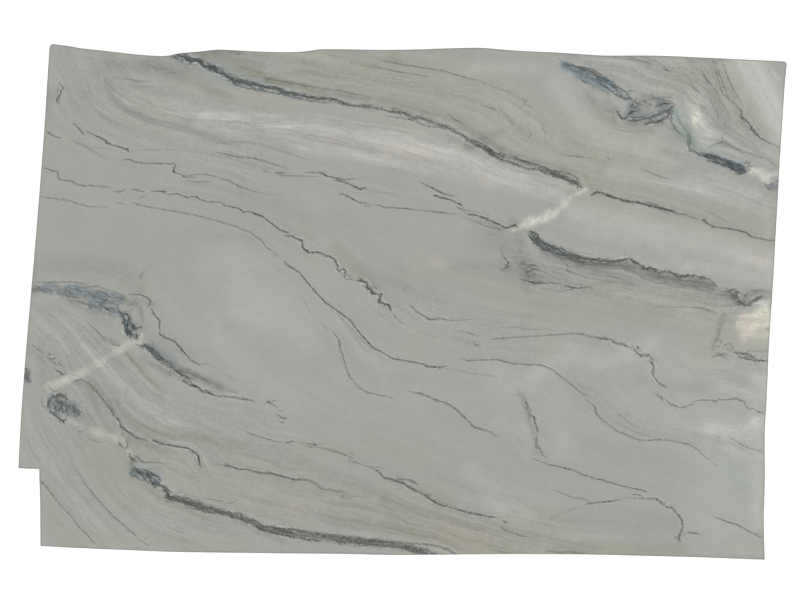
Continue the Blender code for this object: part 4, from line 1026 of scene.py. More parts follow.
def line_fields(places, lines, channels):
    """For each channel, four values at each place: signed distance to the nearest line, its half width, its
    ink and its roughness. All but the ink are in mm."""
    fields = [np.tile((VEIN_ROOM * CELL_MM, 2.0, 0.0, 0.0), (len(places), 1)) for _ in range(channels)]
    for (width, ink, rough, course), channel in zip(lines, share_channels(lines, channels)):
        near, signed, position, past = beside(course, places, VEIN_ROOM)
        scales = [station[2] if len(station) > 2 else 1.0 for station in course]
        scale = np.interp(position, np.arange(len(course)), scales)
        tip = np.minimum(position, len(course) - 1 - position)
        taper = TIP_WIDTH + (1.0 - TIP_WIDTH) * smooth_step(tip / TIP)
        ends = 1.0 - smooth_step(past / END_FADE)
        far = 1.0 - smooth_step((np.abs(signed) - VEIN_FULL) / (VEIN_REACH - VEIN_FULL))
        field = fields[channel]
        nearer = np.abs(signed) * CELL_MM < np.abs(field[near, 0])
        rows = near[nearer]
        field[rows, 0] = signed[nearer] * CELL_MM
        field[rows, 1] = (width / 2 * (0.5 + 0.5 * scale) * taper)[nearer]
        field[rows, 2] = np.clip(ink * np.clip(scale, 0.0, MOST_INK) * ends * far, -1.0, 1.0)[nearer]
        field[rows, 3] = rough
    return fields


BROAD_RAG = 34.0  # mm across, of the broad bulges in a stain's side
SMALL_RAG = 13.0  # mm across, of the small ones


def stain_field(places):
    """The stains laid over each other: linear red, green and blue, and how much they cover."""
    colour = np.zeros((len(places), 3)) + np.array(linear(STONE)[:3])
    cover = np.zeros(len(places))
    for number, (hex_code, amount, half, soft, ragged, course) in enumerate(STAINS):
        near, signed, *_ = beside(course, places, (half + ragged) / CELL_MM + 1.0)
        spots = places[near] * CELL_MM
        broad = wander(spots, BROAD_RAG, number)
        warp = ragged * (0.6 * broad + 0.4 * wander(spots, SMALL_RAG, number + 500))
        inside = (half + warp - np.abs(signed) * CELL_MM) / (half * soft + 0.5)
        amounts = amount * smooth_step(inside)
        total = cover[near] * (1.0 - amounts) + amounts
        weight = np.where(total > 0, amounts / np.maximum(total, 1e-6), 0.0)[:, None]
        colour[near] = colour[near] * (1.0 - weight) + np.array(linear(hex_code)[:3]) * weight
        cover[near] = total
    return np.concatenate([colour, cover[:, None]], axis=1)


PLAIN_BEDDING = 0.4  # how strongly the bedding shows away from the BEDDING courses


def bedding_strength(places):
    """How strongly the bedding shows at each place."""
    strength = np.full(len(places), PLAIN_BEDDING)
    for amount, half, course in BEDDING:
        near, signed, *_ = beside(course, places, half / CELL_MM)
        share = smooth_step(1.2 * (half - np.abs(signed) * CELL_MM) / half)
        strength[near] += (amount - strength[near]) * share
    return strength


BED_STEP = 4.0  # cells between the points where the bedding is worked out
BED_STIFFNESS = 0.06  # how much the bedding keeps an even spacing rather than follow the veins
BED_TWIST = 0.05  # how much it resists a checkered field
BED_ROUNDS = 900
GUIDE_STEP = 5.0  # cells between the places where a line guides the bedding
GUIDE_REACH = 6.0  # cells
VEIN_GUIDANCE = 0.8  # how strongly a vein guides the bedding, where a FLOW line has 1
LEAST_STATIONS = 6  # of a line that guides the bedding


def bedding_heights():
    """A field whose level lines run with the veins and FLOW lines, in cells, on points BED_STEP apart. It is
    found by conjugate gradients: its slope along the flow should be 0 and its slope across it 1."""
    columns = np.arange(0.0, SURVEY[0] + BED_STEP, BED_STEP)
    rows = np.arange(0.0, SURVEY[1] + BED_STEP, BED_STEP)
    middle = np.stack(np.meshgrid(columns[:-1] + BED_STEP / 2, rows[:-1] + BED_STEP / 2), axis=-1)
    flow = np.zeros_like(middle)
    guides = [(course, 1.0) for course in FLOW]
    guided = [course for _, ink, _, course in VEINS if len(course) >= LEAST_STATIONS and ink < 0.99]
    guides += [(course, VEIN_GUIDANCE) for course in guided]
    for course, weight in guides:
        spots = walk(course, GUIDE_STEP)
        if len(spots) < LEAST_STATIONS:
            continue
        ahead = spots[2:] - spots[:-2]
        ahead /= np.hypot(ahead[:, 0], ahead[:, 1])[:, None] + 1e-9
        if ahead[:, 0].sum() + ahead[:, 1].sum() < 0:
            ahead = -ahead
        for spot, way in zip(spots[1:-1], ahead):
            square = ((middle - spot) ** 2).sum(axis=-1)
            flow += (weight / (square + GUIDE_REACH**2) ** 2)[..., None] * way
    flow /= np.hypot(flow[..., 0], flow[..., 1])[..., None] + 1e-12
    across = np.stack([-flow[..., 1], flow[..., 0]], axis=-1)

    def slopes(field):
        east = (field[:-1, 1:] - field[:-1, :-1] + field[1:, 1:] - field[1:, :-1]) / 2
        south = (field[1:, :-1] - field[:-1, :-1] + field[1:, 1:] - field[:-1, 1:]) / 2
        twist = field[:-1, :-1] - field[:-1, 1:] - field[1:, :-1] + field[1:, 1:]
        return east, south, twist

    def weigh(east, south):
        along = east * flow[..., 0] + south * flow[..., 1]
        over = BED_STIFFNESS * (east * across[..., 0] + south * across[..., 1])
        return along * flow[..., 0] + over * across[..., 0], along * flow[..., 1] + over * across[..., 1]

    def gather(east, south, twist):
        total = np.zeros((len(rows), len(columns)))
        total[:-1, 1:] += east / 2 - south / 2 - twist
        total[:-1, :-1] += -east / 2 - south / 2 + twist
        total[1:, 1:] += east / 2 + south / 2 + twist
        total[1:, :-1] += -east / 2 + south / 2 - twist
        return total

    def apply(field):
        east, south, twist = slopes(field)
        return gather(*weigh(east, south), BED_TWIST * twist)

    field = np.repeat(rows[:, None], len(columns), axis=1)
    goal = gather(*weigh(across[..., 0] * BED_STEP, across[..., 1] * BED_STEP), 0.0)
    residual = goal - apply(field)
    direction = residual.copy()
    power = (residual**2).sum()
    for _ in range(BED_ROUNDS):
        moved = apply(direction)
        stride = power / (direction * moved).sum()
        field += stride * direction
        residual -= stride * moved
        new_power = (residual**2).sum()
        direction = residual + new_power / power * direction
        power = new_power
    return field


def sample_grid(field, places):
    """Reads a field given on points BED_STEP apart at places on the survey grid."""
    column = np.clip(places[:, 0] / BED_STEP, 0, field.shape[1] - 1.001)
    row = np.clip(places[:, 1] / BED_STEP, 0, field.shape[0] - 1.001)
    i, j = row.astype(int), column.astype(int)
    u, v = row - i, column - j
    top = field[i, j] * (1 - v) + field[i, j + 1] * v
    bottom = field[i + 1, j] * (1 - v) + field[i + 1, j + 1] * v
    return top * (1 - u) + bottom * u


# The stone's shape.

# Spacing of the points on the polished face, in cells, and how near to a vein each spacing is used.
SPACINGS = ((1.25, 2.2), (2.2, 4.8), (3.8, None))
BAND_REACH = 2.5  # cells from a band's course up to which the points are as close as beside a vein
BACK_SPACING = 9.0  # cells
LATTICE_MARGINS = (5.0, 30.0, 20.0)  # cells of the survey left free at the sides, above and below
FACE_MARGIN = 3.0 * MM  # free of inner points inside the arris
BACK_MARGIN = 9 * MM  # the same inside the back's edge
WALL_SPACING = 6.5 * MM
WALL_DEPTHS = (4.2, 7.0, 10.5, 14.0, 17.5, 21.0, 24.5, 27.5)  # mm below the polished face, under the arris
ARRIS_BOW = 0.42  # the arris's middle ring lies at this share of it, in and down
BROKEN_SHARES = (0.0, 0.12, 0.5, 0.85, 1.0, 1.0, 1.0, 1.0, 1.0, 0.95, 0.9)  # of each ring, arris first
STEP = ((15, 466), (41, 549))  # the sawn step's corners on the survey grid, as columns and rows
RIM_LIMIT = 60.0  # mm from the outline up to which distances from it are told apart


def cad_outline():
    """The slab's outline under the arris, clockwise as the CAD part has it, as X and Y in metres."""
    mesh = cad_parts["slab"].data
    level = THICKNESS - ARRIS
    ring = {v.index for v in mesh.vertices if abs(v.co.z - level) < 1e-5}
    name = {index: tuple(round(c, 6) for c in mesh.vertices[index].co) for index in ring}
    neighbours = {}
    for edge in mesh.edges:
        a, b = edge.vertices
        if a in ring and b in ring and name[a] != name[b]:
            neighbours.setdefault(name[a], set()).add(name[b])
            neighbours.setdefault(name[b], set()).add(name[a])
    first = min(neighbours)
    loop = [first]
    before, here = None, first
    while True:
        onward = [spot for spot in sorted(neighbours[here]) if spot != before and spot not in loop[1:]]
        if not onward or onward[0] == first:
            break
        before, here = here, onward[0]
        loop.append(here)
    outline = np.array(loop)[:, :2]
    ahead = np.roll(outline, -1, axis=0)
    area = (outline[:, 0] * ahead[:, 1] - ahead[:, 0] * outline[:, 1]).sum()
    return outline if area < 0 else outline[::-1]


def inward_moves(outline):
    """For each point of the clockwise outline, how far it moves when both of its edges move in by 1."""
    normals = []
    for way in (outline - np.roll(outline, 1, axis=0), np.roll(outline, -1, axis=0) - outline):
        way = way / np.hypot(way[:, 0], way[:, 1])[:, None]
        normals.append(np.stack([way[:, 1], -way[:, 0]], axis=1))
    middle = normals[0] + normals[1]
    middle /= np.hypot(middle[:, 0], middle[:, 1])[:, None]
    return middle / (middle * normals[0]).sum(axis=1)[:, None]


def ring_distance(outline, places):
    """Distance of places from the outline and whether they are inside it."""
    distance = np.full(len(places), 1e9)
    inside = np.zeros(len(places), bool)
    for start, end in zip(outline, np.roll(outline, -1, axis=0)):
        step = end - start
        rel = places - start
        share = np.clip(rel @ step / (step @ step), 0.0, 1.0)
        away = rel - share[:, None] * step
        distance = np.minimum(distance, np.hypot(away[:, 0], away[:, 1]))
        crosses = (start[1] > places[:, 1]) != (end[1] > places[:, 1])
        if crosses.any():
            at = start[0] + (places[:, 1] - start[1]) / (step[1] if step[1] else 1e-12) * step[0]
            inside ^= crosses & (places[:, 0] < at)
    return distance, inside


def hexagon_points(spacing):
    """Points of a hexagonal lattice over the survey grid, in cells."""
    left, above, below = LATTICE_MARGINS
    rows = np.arange(above, SURVEY[1] - below, spacing * math.sqrt(3) / 2)
    columns = np.arange(left, SURVEY[0] - left, spacing)
    grid = np.stack(np.meshgrid(columns, rows), axis=-1)
    grid[1::2, :, 0] += spacing / 2
    return grid.reshape(-1, 2)


def face_points(outline, spacings):
    """Points inside the outline, in cells, closer together near the veins."""
    spots = np.concatenate([walk(course, 0.5) for *_, course in VEINS])
    zones = [mark(spots, reach) for _, reach in spacings[:-1]]
    zones[-1] |= mark(np.concatenate([walk(course, 1.0) for *_, course in BANDS]), BAND_REACH)
    chosen = []
    for number, (spacing, _) in enumerate(spacings):
        points = hexagon_points(spacing)
        rows = np.round(points[:, 1]).astype(int)
        columns = np.round(points[:, 0]).astype(int)
        wanted = zones[number][rows, columns] if number < len(zones) else np.ones(len(points), bool)
        if number:
            wanted &= ~zones[number - 1][rows, columns]
        chosen.append(points[wanted])
    points = np.concatenate(chosen)
    distance, inside = ring_distance(outline, to_metres(points))
    return points[inside & (distance > ARRIS + FACE_MARGIN)]


def fill(ring, inner):
    """Triangles that fill a closed ring of points through the inner points. Both are in metres. The ring's
    points come first and keep their order."""
    points = np.concatenate([ring, inner])
    count = len(ring)
    edges = [(i, (i + 1) % count) for i in range(count)]
    corners = [tuple(point) for point in points.tolist()]
    found, _, faces, *_ = delaunay_2d_cdt(corners, edges, [], 0, 1e-7, False)
    if len(found) != len(points):
        raise ValueError("the face's triangles dropped or added points")
    faces = np.array([tuple(face) for face in faces])
    bridging = np.nonzero((faces < count).all(axis=1))[0]
    _, inside = ring_distance(ring, points[faces[bridging]].mean(axis=1))
    return points, np.delete(faces, bridging[~inside], axis=0).tolist()


def on_sawn_step(edge):
    """True for the outline's points on the sawn step."""
    return np.all((to_cells(edge) > STEP[0]) & (to_cells(edge) < STEP[1]), axis=1)


def put(mesh, name, kind, values):
    """Stores a value at each of the mesh's points."""
    layer = mesh.attributes.new(name, kind, "POINT")
    field = {"FLOAT": "value", "FLOAT_VECTOR": "vector", "FLOAT_COLOR": "color"}[kind]
    layer.data.foreach_set(field, np.asarray(values, np.float32).ravel())


def paint(mesh, spots):
    """Gives every point the stone's fields. Deeper points read them further along, as the veins lean."""
    depth = THICKNESS - spots[:, 2]
    cells = to_cells(spots[:, :2] + depth[:, None] * np.array(VEIN_LEAN))
    for name, lines, channels in (("vein", VEINS, VEIN_CHANNELS), ("band", BANDS, BAND_CHANNELS)):
        for number, field in enumerate(line_fields(cells, lines, channels)):
            put(mesh, f"{name}_{number}", "FLOAT_COLOR", field)
    put(mesh, "stain", "FLOAT_COLOR", stain_field(cells))
    put(mesh, "bed", "FLOAT", sample_grid(bedding_heights(), cells) * CELL / MM)
    put(mesh, "bed_strength", "FLOAT", bedding_strength(cells))


def build_slab():
    """The stone as a closed mesh with its fields as attributes."""
    outline = cad_outline()
    ends = np.roll(outline, -1, axis=0)
    edge = np.concatenate([split(start, end, WALL_SPACING) for start, end in zip(outline, ends)])
    moves = inward_moves(edge)
    count = len(edge)
    inner = to_metres(face_points(outline, SPACINGS))
    top, top_faces = fill(edge + moves * ARRIS, inner)
    lattice = to_metres(hexagon_points(BACK_SPACING))
    distance, inside = ring_distance(outline, lattice)
    back, back_faces = fill(edge, lattice[inside & (distance > BACK_MARGIN)])

    # Rings of points down the side: two for the arris, then the broken depths and the back's edge.
    rings = [(edge + moves * ARRIS * ARRIS_BOW, THICKNESS - ARRIS * ARRIS_BOW), (edge, THICKNESS - ARRIS)]
    rings += [(edge, THICKNESS - depth * MM) for depth in WALL_DEPTHS]
    rings.append((edge, 0.0))
    layers = [(top, THICKNESS), *rings, (back[count:], 0.0)]
    spots = np.concatenate([np.column_stack([plan, np.full(len(plan), height)]) for plan, height in layers])
    starts = [0, *range(len(top), len(top) + count * len(rings), count)]

    # Faces, with the number of the material that each one has.
    faces = list(top_faces)
    for upper, lower in zip(starts[:-1], starts[1:]):
        for i in range(count):
            j = (i + 1) % count
            faces.append((upper + i, upper + j, lower + j, lower + i))
    faces += [tuple(starts[-1] + i for i in face) for face in back_faces]
    counts = (len(top_faces), 2 * count, (len(rings) - 2) * count, len(back_faces))
    mesh = bpy.data.meshes.new("quartzite_slab")
    mesh.from_pydata(spots.tolist(), [], faces)
    finish = np.repeat(np.arange(4, dtype=np.int32), counts)
    mesh.attributes.new("finish", "INT", "FACE").data.foreach_set("value", finish)

    paint(mesh, spots)
    inward = np.zeros((len(spots), 3))
    broken = np.zeros(len(spots))
    for share, start in zip(BROKEN_SHARES, starts[1:]):
        inward[start : start + count, :2] = moves
        broken[start : start + count] = share * ~on_sawn_step(edge)
    put(mesh, "inward", "FLOAT_VECTOR", inward)
    put(mesh, "broken", "FLOAT", broken)
    distance, _ = ring_distance(outline, spots[:, :2])
    put(mesh, "rim", "FLOAT", np.minimum(distance / MM, RIM_LIMIT))
    mesh.validate()
    return mesh


# Node trees. The nodes that recur, by short names: type, inputs in the order in which add() is given their
# values, and settings. A maths node goes by its operation.
NODES = {
    "mix": ("ShaderNodeMix", (0, 6, 7), {"data_type": "RGBA"}),
    "noise": ("ShaderNodeTexNoise", ("Vector", "Scale", "Detail", "Roughness"), {}),
    "painted": ("ShaderNodeAttribute", (), {}),
    "parts": ("ShaderNodeSeparateColor", (0,), {}),
    "ramp": ("ShaderNodeMapRange", ("Value", 1, 2, 3, 4), {"interpolation_type": "SMOOTHSTEP"}),
    "scale": ("ShaderNodeVectorMath", (0, "Scale"), {"operation": "SCALE"}),
    "stored": ("GeometryNodeInputNamedAttribute", ("Name",), {}),
}
for name in ("ADD", "SUBTRACT", "MULTIPLY", "DIVIDE", "MULTIPLY_ADD", "MAXIMUM", "ABSOLUTE"):
    NODES[name] = ("ShaderNodeMath", (0, 1, 2), {"operation": name})


def add(tree, kind, *values, inputs=None, **settings):
    """Adds a node of a type or of a short name, with its settings. Its inputs are given values or links, in
    order or by name or number. A node that is given as a value means its first output that is in use."""
    kind, order, usual = NODES.get(kind, (kind, range(len(values)), {}))
    made = tree.nodes.new(kind)
    for name, value in {**usual, **settings}.items():
        setattr(made, name, value)
    for key, value in {**dict(zip(order, values)), **(inputs or {})}.items():
        if isinstance(value, bpy.types.Node):
            value = next(socket for socket in value.outputs if socket.enabled)
        if isinstance(value, bpy.types.NodeSocket):
            tree.links.new(value, made.inputs[key])
        else:
            made.inputs[key].default_value = value
    return made


# How the slab's sides broke: hollows, ledges and grain, each as deep and as long as given.
BREAK_SIZES = {
    "Break depth": 3.4 * MM,
    "Break length": 85 * MM,
    "Ledge depth": 1.6 * MM,
    "Ledge length": 24 * MM,
    "Grain depth": 0.7 * MM,
    "Grain length": 6 * MM,
    "Seed": 4.0,
}


def broken_sides_tree(materials):
    """Geometry nodes that break the slab's sides with hollows, small steps and grain, and give each face its
    finish. Also the values of the tree's own inputs."""
    tree = bpy.data.node_groups.new("broken_sides", "GeometryNodeTree")
    node = partial(add, tree)
    face = tree.interface
    face.new_socket("Geometry", in_out="INPUT", socket_type="NodeSocketGeometry")
    sizes = {}
    for name, size in BREAK_SIZES.items():
        socket = face.new_socket(name, in_out="INPUT", socket_type="NodeSocketFloat")
        socket.default_value = size
        sizes[socket.identifier] = size
    face.new_socket("Geometry", in_out="OUTPUT", socket_type="NodeSocketGeometry")
    given = node("NodeGroupInput").outputs
    place = node("GeometryNodeInputPosition")
    depths = []
    for kind in ("Break", "Ledge", "Grain"):
        lookup = node("scale", place, node("DIVIDE", 1.0, given[f"{kind} length"]))
        if kind == "Ledge":
            scaled = {"Vector": lookup, "Scale": 1.0}
            height = node("ShaderNodeTexVoronoi", inputs=scaled, feature="SMOOTH_F1")
        else:
            height = node("noise", lookup, 1.0, 2.0, inputs={"W": given["Seed"]}, noise_dimensions="4D")
        depths.append(node("MULTIPLY", height, given[f"{kind} depth"]))
    total = node("ADD", node("ADD", depths[0], depths[1]), depths[2])
    held = node("MULTIPLY", total, node("stored", "broken", data_type="FLOAT"))
    offset = node("scale", node("stored", "inward", data_type="FLOAT_VECTOR"), held)
    moved = node("GeometryNodeSetPosition", inputs={"Geometry": given["Geometry"], "Offset": offset})
    last = node("GeometryNodeRealizeInstances", moved)
    finish = node("stored", "finish", data_type="INT")
    for number, material in enumerate(materials):
        pair = {2: finish, 3: number}
        chosen = node("FunctionNodeCompare", inputs=pair, data_type="INT", operation="EQUAL")
        last = node("GeometryNodeSetMaterial", last, chosen, material)
    node("NodeGroupOutput", last)
    return tree, sizes


def finished(mesh, materials):
    """The slab's object: the mesh with its sides broken by the node tree, as a plain mesh."""
    rough = bpy.data.objects.new("quartzite_slab_rough", mesh)
    bpy.context.scene.collection.objects.link(rough)
    modifier = rough.modifiers.new("broken_sides", "NODES")
    modifier.node_group, sizes = broken_sides_tree(materials)
    for socket, size in sizes.items():
        modifier[socket] = size
    graph = bpy.context.evaluated_depsgraph_get()
    shown = rough.evaluated_get(graph)
    made = bpy.data.meshes.new_from_object(shown, preserve_all_data_layers=True, depsgraph=graph)
    made.name = "quartzite_slab"
    bpy.data.objects.remove(rough)
    slab = bpy.data.objects.new("quartzite_slab", made)
    bpy.context.scene.collection.objects.link(slab)
    return slab


# The stone's colours. The sizes across of its patterns come first.
CLOUD = 420 * MM
SWERVE = 150 * MM
HAZE = 60 * MM
PATCH = 30 * MM
CURD = 24 * MM
TREMOR = 20 * MM
TOOTH = 17 * MM
COURSE = 13 * MM
CRUMB = 9 * MM
GRAIN = 7 * MM
GRIT = 4.5 * MM
CRYSTAL = 3.0 * MM
STREAKS = ((44.0, 900.0, 0.30), (17.0, 520.0, 0.22), (6.0, 260.0, 0.09))  # thick mm, long mm, gain
HAIR_INK = 0.05  # how dark the bedding's hair lines are
SHAKE = 4.4  # swing of a line's course, for each unit of its roughness
TOOTH_HEIGHT = 18.0  # mm, the swing of the teeth along the roughest veins
# A painted shade line along the polished face's outline, at the arris.
RIM_SHADE_WIDTH = 3.5  # mm from the outline up to which the painted shade line at the arris keeps its full strength
RIM_SHADE_FADE = 2.5  # mm over which it fades
RIM_SHADE_STRENGTH = 0.55


def stone_colour_group():
    """The stone's colour from its fields, shared by its polished, broken and sawn faces. Also how much of
    each place is vein."""
    tree = bpy.data.node_groups.new("stone_colour", "ShaderNodeTree")
    node = partial(add, tree)
    tree.interface.new_socket("Colour", in_out="OUTPUT", socket_type="NodeSocketColor")
    tree.interface.new_socket("Vein", in_out="OUTPUT", socket_type="NodeSocketFloat")
    place = node("ShaderNodeTexCoord").outputs["Object"]
    axes = node("ShaderNodeSeparateXYZ", place)
    strength = node("painted", attribute_name="bed_strength").outputs["Fac"]

    def centred(texture, gain):
        """A texture from 0 to 1 turned into a swing to both sides of 0."""
        return node("MULTIPLY", node("SUBTRACT", texture, 0.5), gain)

    def bedded(thick, long, detail=2.0):
        """Noise in leaves about so thick and so long, in mm, that lie along the bed."""
        layer = node("MULTIPLY_ADD", bed, 1.0 / thick, 37.0 * thick)
        east = node("MULTIPLY", axes.outputs["X"], 1.0 / (long * MM))
        north = node("MULTIPLY", axes.outputs["Y"], 1.0 / (long * MM))
        lookup = node("ShaderNodeCombineXYZ", east, north, layer)
        return node("noise", lookup, 1.0, detail, 0.6)

    def line_field(name, number):
        """A channel of veins or bands: distance to its shaken courses, half width, ink and roughness."""
        field = node("painted", attribute_name=f"{name}_{number}").outputs
        away, half, ink = node("parts", field["Color"]).outputs
        shake = centred(courses[number % 3], SHAKE)
        return node("MULTIPLY_ADD", shake, field["Alpha"], away), half, ink, field["Alpha"]

    # The bed's height in mm. Its leaves swerve gently and tremble a little.
    swerve = centred(node("noise", place, 1.0 / SWERVE, 2.0, 0.5), 30.0)
    tremor = centred(node("noise", place, 1.0 / TREMOR, 2.0, 0.55), 2.5)
    height = node("painted", attribute_name="bed").outputs["Fac"]
    bed = node("MULTIPLY_ADD", node("ADD", swerve, tremor), strength, height)

    # Quartzite's ground: slow clouds of cooler and warmer grey.
    cloud = node("ramp", node("noise", place, 1.0 / CLOUD, 3.0, 0.55), 0.3, 0.7, 0.0, 1.0)
    ground = node("mix", cloud, linear(STONE), linear(STONE_WARM))

    # Flecks of mica in short leaves along the bed. They break up the stains and the veins. Real flecks are
    # under a millimetre, and these are as coarse as they need to show.
    flecks = bedded(3.6, 26.0)
    fleck = node("ramp", flecks, 0.38, 0.64, 0.0, 1.0)
    crumbs = node("noise", place, 1.0 / CRUMB, 4.0, 0.65)

    # Stains of the survey, with ragged cover.
    stain = node("painted", attribute_name="stain").outputs
    green = node("parts", stain["Color"]).outputs[1]
    darkness = node("ramp", green, 0.26, 0.12, 0.0, 1.0)
    lightness = node("ramp", green, 0.6, 0.68, 0.0, 1.0)
    patchy = node("ramp", node("noise", place, 1.0 / PATCH, 4.0, 0.6), 0.28, 0.72, 0.82, 1.18)
    flaking = node("MULTIPLY", darkness, node("ramp", stain["Alpha"], 0.08, 0.4, 0.0, 1.0))
    flaked = node("MULTIPLY_ADD", centred(fleck, 1.1), flaking, 1.0)
    crumbled = node("MULTIPLY_ADD", centred(crumbs, -3.2), lightness, 1.0)
    leafy = node("ramp", bedded(11.0, 320.0, 3.0), 0.3, 0.7, 0.6, 1.4)
    layered = node("MULTIPLY_ADD", node("SUBTRACT", leafy, 1.0), strength, 1.0)
    patches = node("MULTIPLY", stain["Alpha"], patchy)
    cover = node("MULTIPLY", patches, node("MULTIPLY", flaked, crumbled))
    cover = node("MULTIPLY", cover, layered, use_clamp=True)
    colour = node("mix", cover, ground, stain["Color"])
    dark_stain = node("MULTIPLY", flaking, cover)
    frost = node("MULTIPLY", node("ramp", flecks, 0.48, 0.36, 0.0, 0.55), dark_stain, use_clamp=True)
    colour = node("mix", frost, colour, linear(FROST))
    soot = node("MULTIPLY", node("ramp", flecks, 0.5, 0.62, 0.0, 0.85), dark_stain, use_clamp=True)
    colour = node("mix", soot, colour, linear(INK))

    # Bedding: long streaks that keep to the bed, from broad ones down to hair lines, and the survey's bands.
    streaks = [centred(bedded(thick, long), gain) for thick, long, gain in STREAKS]
    lift = reduce(partial(node, "ADD"), streaks)
    hairs = node("ABSOLUTE", centred(bedded(24.0, 480.0), 1.0))
    hair = node("ramp", hairs, 0.0, 0.05, HAIR_INK, 0.0)
    lift = node("MULTIPLY", node("SUBTRACT", lift, hair), strength)
    courses = node("parts", node("noise", place, 1.0 / COURSE, 4.0, 0.68).outputs["Color"]).outputs
    fibres = node("ramp", bedded(5.0, 160.0), 0.3, 0.7, 0.45, 1.55)
    for number in range(BAND_CHANNELS):
        away, half, light, _ = line_field("band", number)
        across = node("DIVIDE", node("ABSOLUTE", away), half)
        body = node("MULTIPLY", node("ramp", across, 0.0, 1.7, 1.0, 0.0), fibres)
        lift = node("MULTIPLY_ADD", body, light, lift)

    # Fine clouding, curds and grain of the quartz. Its real grains are under a millimetre, and these are as
    # coarse as they need to show.
    soft = centred(node("noise", place, 1.0 / HAZE, 3.0, 0.55), 0.09)
    curdled = node("noise", place, 1.0 / CURD, 3.0, 0.6, inputs={"Distortion": 1.4})
    soft = node("ADD", soft, node("MULTIPLY", centred(curdled, 0.22), strength))
    grain = node("noise", place, 1.0 / GRAIN, 3.0, 0.7)
    fine = node("MULTIPLY", centred(grain, 1.0), node("MULTIPLY_ADD", strength, 0.22, 0.08))
    crystals = node("ShaderNodeTexVoronoi", inputs={"Vector": place, "Scale": 1.0 / CRYSTAL})
    facet = centred(node("parts", crystals.outputs["Color"]), 0.04)
    lift = node("ADD", node("ADD", node("ADD", lift, soft), node("ADD", fine, facet)), 1.0)
    colour = node("scale", colour, lift)

    # Veins: each channel's nearest vein, drawn with a rough course and uneven ink.
    inks = node("parts", grain.outputs["Color"]).outputs
    teeth = node("parts", node("noise", place, 1.0 / TOOTH, 3.0, 0.7).outputs["Color"]).outputs
    grit = node("ramp", node("noise", place, 1.0 / GRIT, 2.0, 0.6), 0.38, 0.62, 0.5, 1.15)
    grit = node("SUBTRACT", grit, 1.0)
    broken = node("ramp", flecks, 0.34, 0.6, 0.66, 1.0)
    hairy = node("ramp", flecks, 0.42, 0.66, 0.25, 1.6)
    clears = []
    fringes = []
    for number in range(VEIN_CHANNELS):
        away, half, ink, rough = line_field("vein", number)
        jagged = node("ramp", rough, 1.0, 3.2, 0.0, TOOTH_HEIGHT)
        away = node("MULTIPLY_ADD", centred(teeth[(number + 2) % 3], 1.0), jagged, away)
        swell = node("ramp", inks[(number + 1) % 3], 0.3, 0.7, 0.6, 1.85)
        across = node("DIVIDE", node("ABSOLUTE", away), node("MULTIPLY", half, swell))
        line = node("MULTIPLY", node("ramp", across, 0.45, 1.45, 1.0, 0.0), broken)
        wide = node("ramp", half, 2.6, 6.0, 0.0, 1.0)
        line = node("MULTIPLY", line, node("MULTIPLY_ADD", grit, wide, 1.0))
        heavy = node("ramp", half, 2.2, 5.0, 0.26, 0.34)
        skirt = node("MULTIPLY", node("ramp", across, 0.6, 4.8, 1.0, 0.0), hairy)
        skirt = node("MULTIPLY", skirt, heavy)
        uneven = node("ramp", inks[number % 3], 0.35, 0.65, 0.62, 1.4)
        body = node("MULTIPLY", node("MAXIMUM", line, skirt), uneven)
        clears.append(node("SUBTRACT", 1.0, node("MULTIPLY", body, ink, use_clamp=True)))
        thick = node("ramp", half, 1.6, 3.6, 0.25, 1.0)
        inner = node("ramp", across, 0.9, 1.7, 0.0, 1.0)
        margin = node("MULTIPLY", inner, node("ramp", across, 1.8, 3.6, 1.0, 0.0))
        fringes.append(node("MULTIPLY", margin, node("MULTIPLY", thick, ink), use_clamp=True))
    veins = node("SUBTRACT", 1.0, reduce(partial(node, "MULTIPLY"), clears), use_clamp=True)
    fringe = reduce(partial(node, "MAXIMUM"), fringes)
    bleached = node("ramp", flecks, 0.58, 0.42, 0.15, 0.7)
    bleached = node("MULTIPLY", bleached, node("ramp", cover, 0.2, 0.6, 1.0, 0.35))
    colour = node("mix", node("MULTIPLY", fringe, bleached), colour, linear(FRINGE))
    shade = node("mix", node("MULTIPLY", dark_stain, 0.5), linear(INK), stain["Color"])
    node("NodeGroupOutput", node("mix", veins, colour, shade), veins)
    return tree


def stone_material(name, group, roughness, shade, tone, bump=0.0, bump_size=1.0, rim=False):
    """A stone surface: the shared colour, toned for its finish, with its own roughness and relief. The shade
    is the share of the tone in its colour. The arris's dark tone and the rim line are painted shade."""
    material = bpy.data.materials.new(name)
    material.use_nodes = True
    tree = material.node_tree
    tree.nodes.clear()
    node = partial(add, tree)
    shared = node("ShaderNodeGroup", node_tree=group).outputs
    colour = node("mix", shade, shared["Colour"], linear(tone))
    if rim:
        # Painted shade: darker towards SHADOW within a few mm of the outline, at the arris.
        near = node("painted", attribute_name="rim").outputs["Fac"]
        rim_shade = node("ramp", near, RIM_SHADE_WIDTH, RIM_SHADE_WIDTH + RIM_SHADE_FADE, RIM_SHADE_STRENGTH, 0.0)
        colour = node("mix", rim_shade, colour, linear(SHADOW))
    dull = min(1.0, roughness + 0.12)  # the veins take a duller polish than the quartz
    sheen = node("ramp", shared["Vein"], 0.0, 1.0, roughness, dull, interpolation_type="LINEAR")
    surface = {"Base Color": colour, "IOR": 1.5, "Roughness": sheen}
    if bump:
        place = node("ShaderNodeTexCoord").outputs["Object"]
        relief = node("noise", place, 1.0 / bump_size, 6.0, 0.65)
        inputs = {"Height": relief, "Strength": 0.8, "Distance": bump}
        surface["Normal"] = node("ShaderNodeBump", inputs=inputs)
    node("ShaderNodeOutputMaterial", node("ShaderNodeBsdfPrincipled", inputs=surface))
    return material


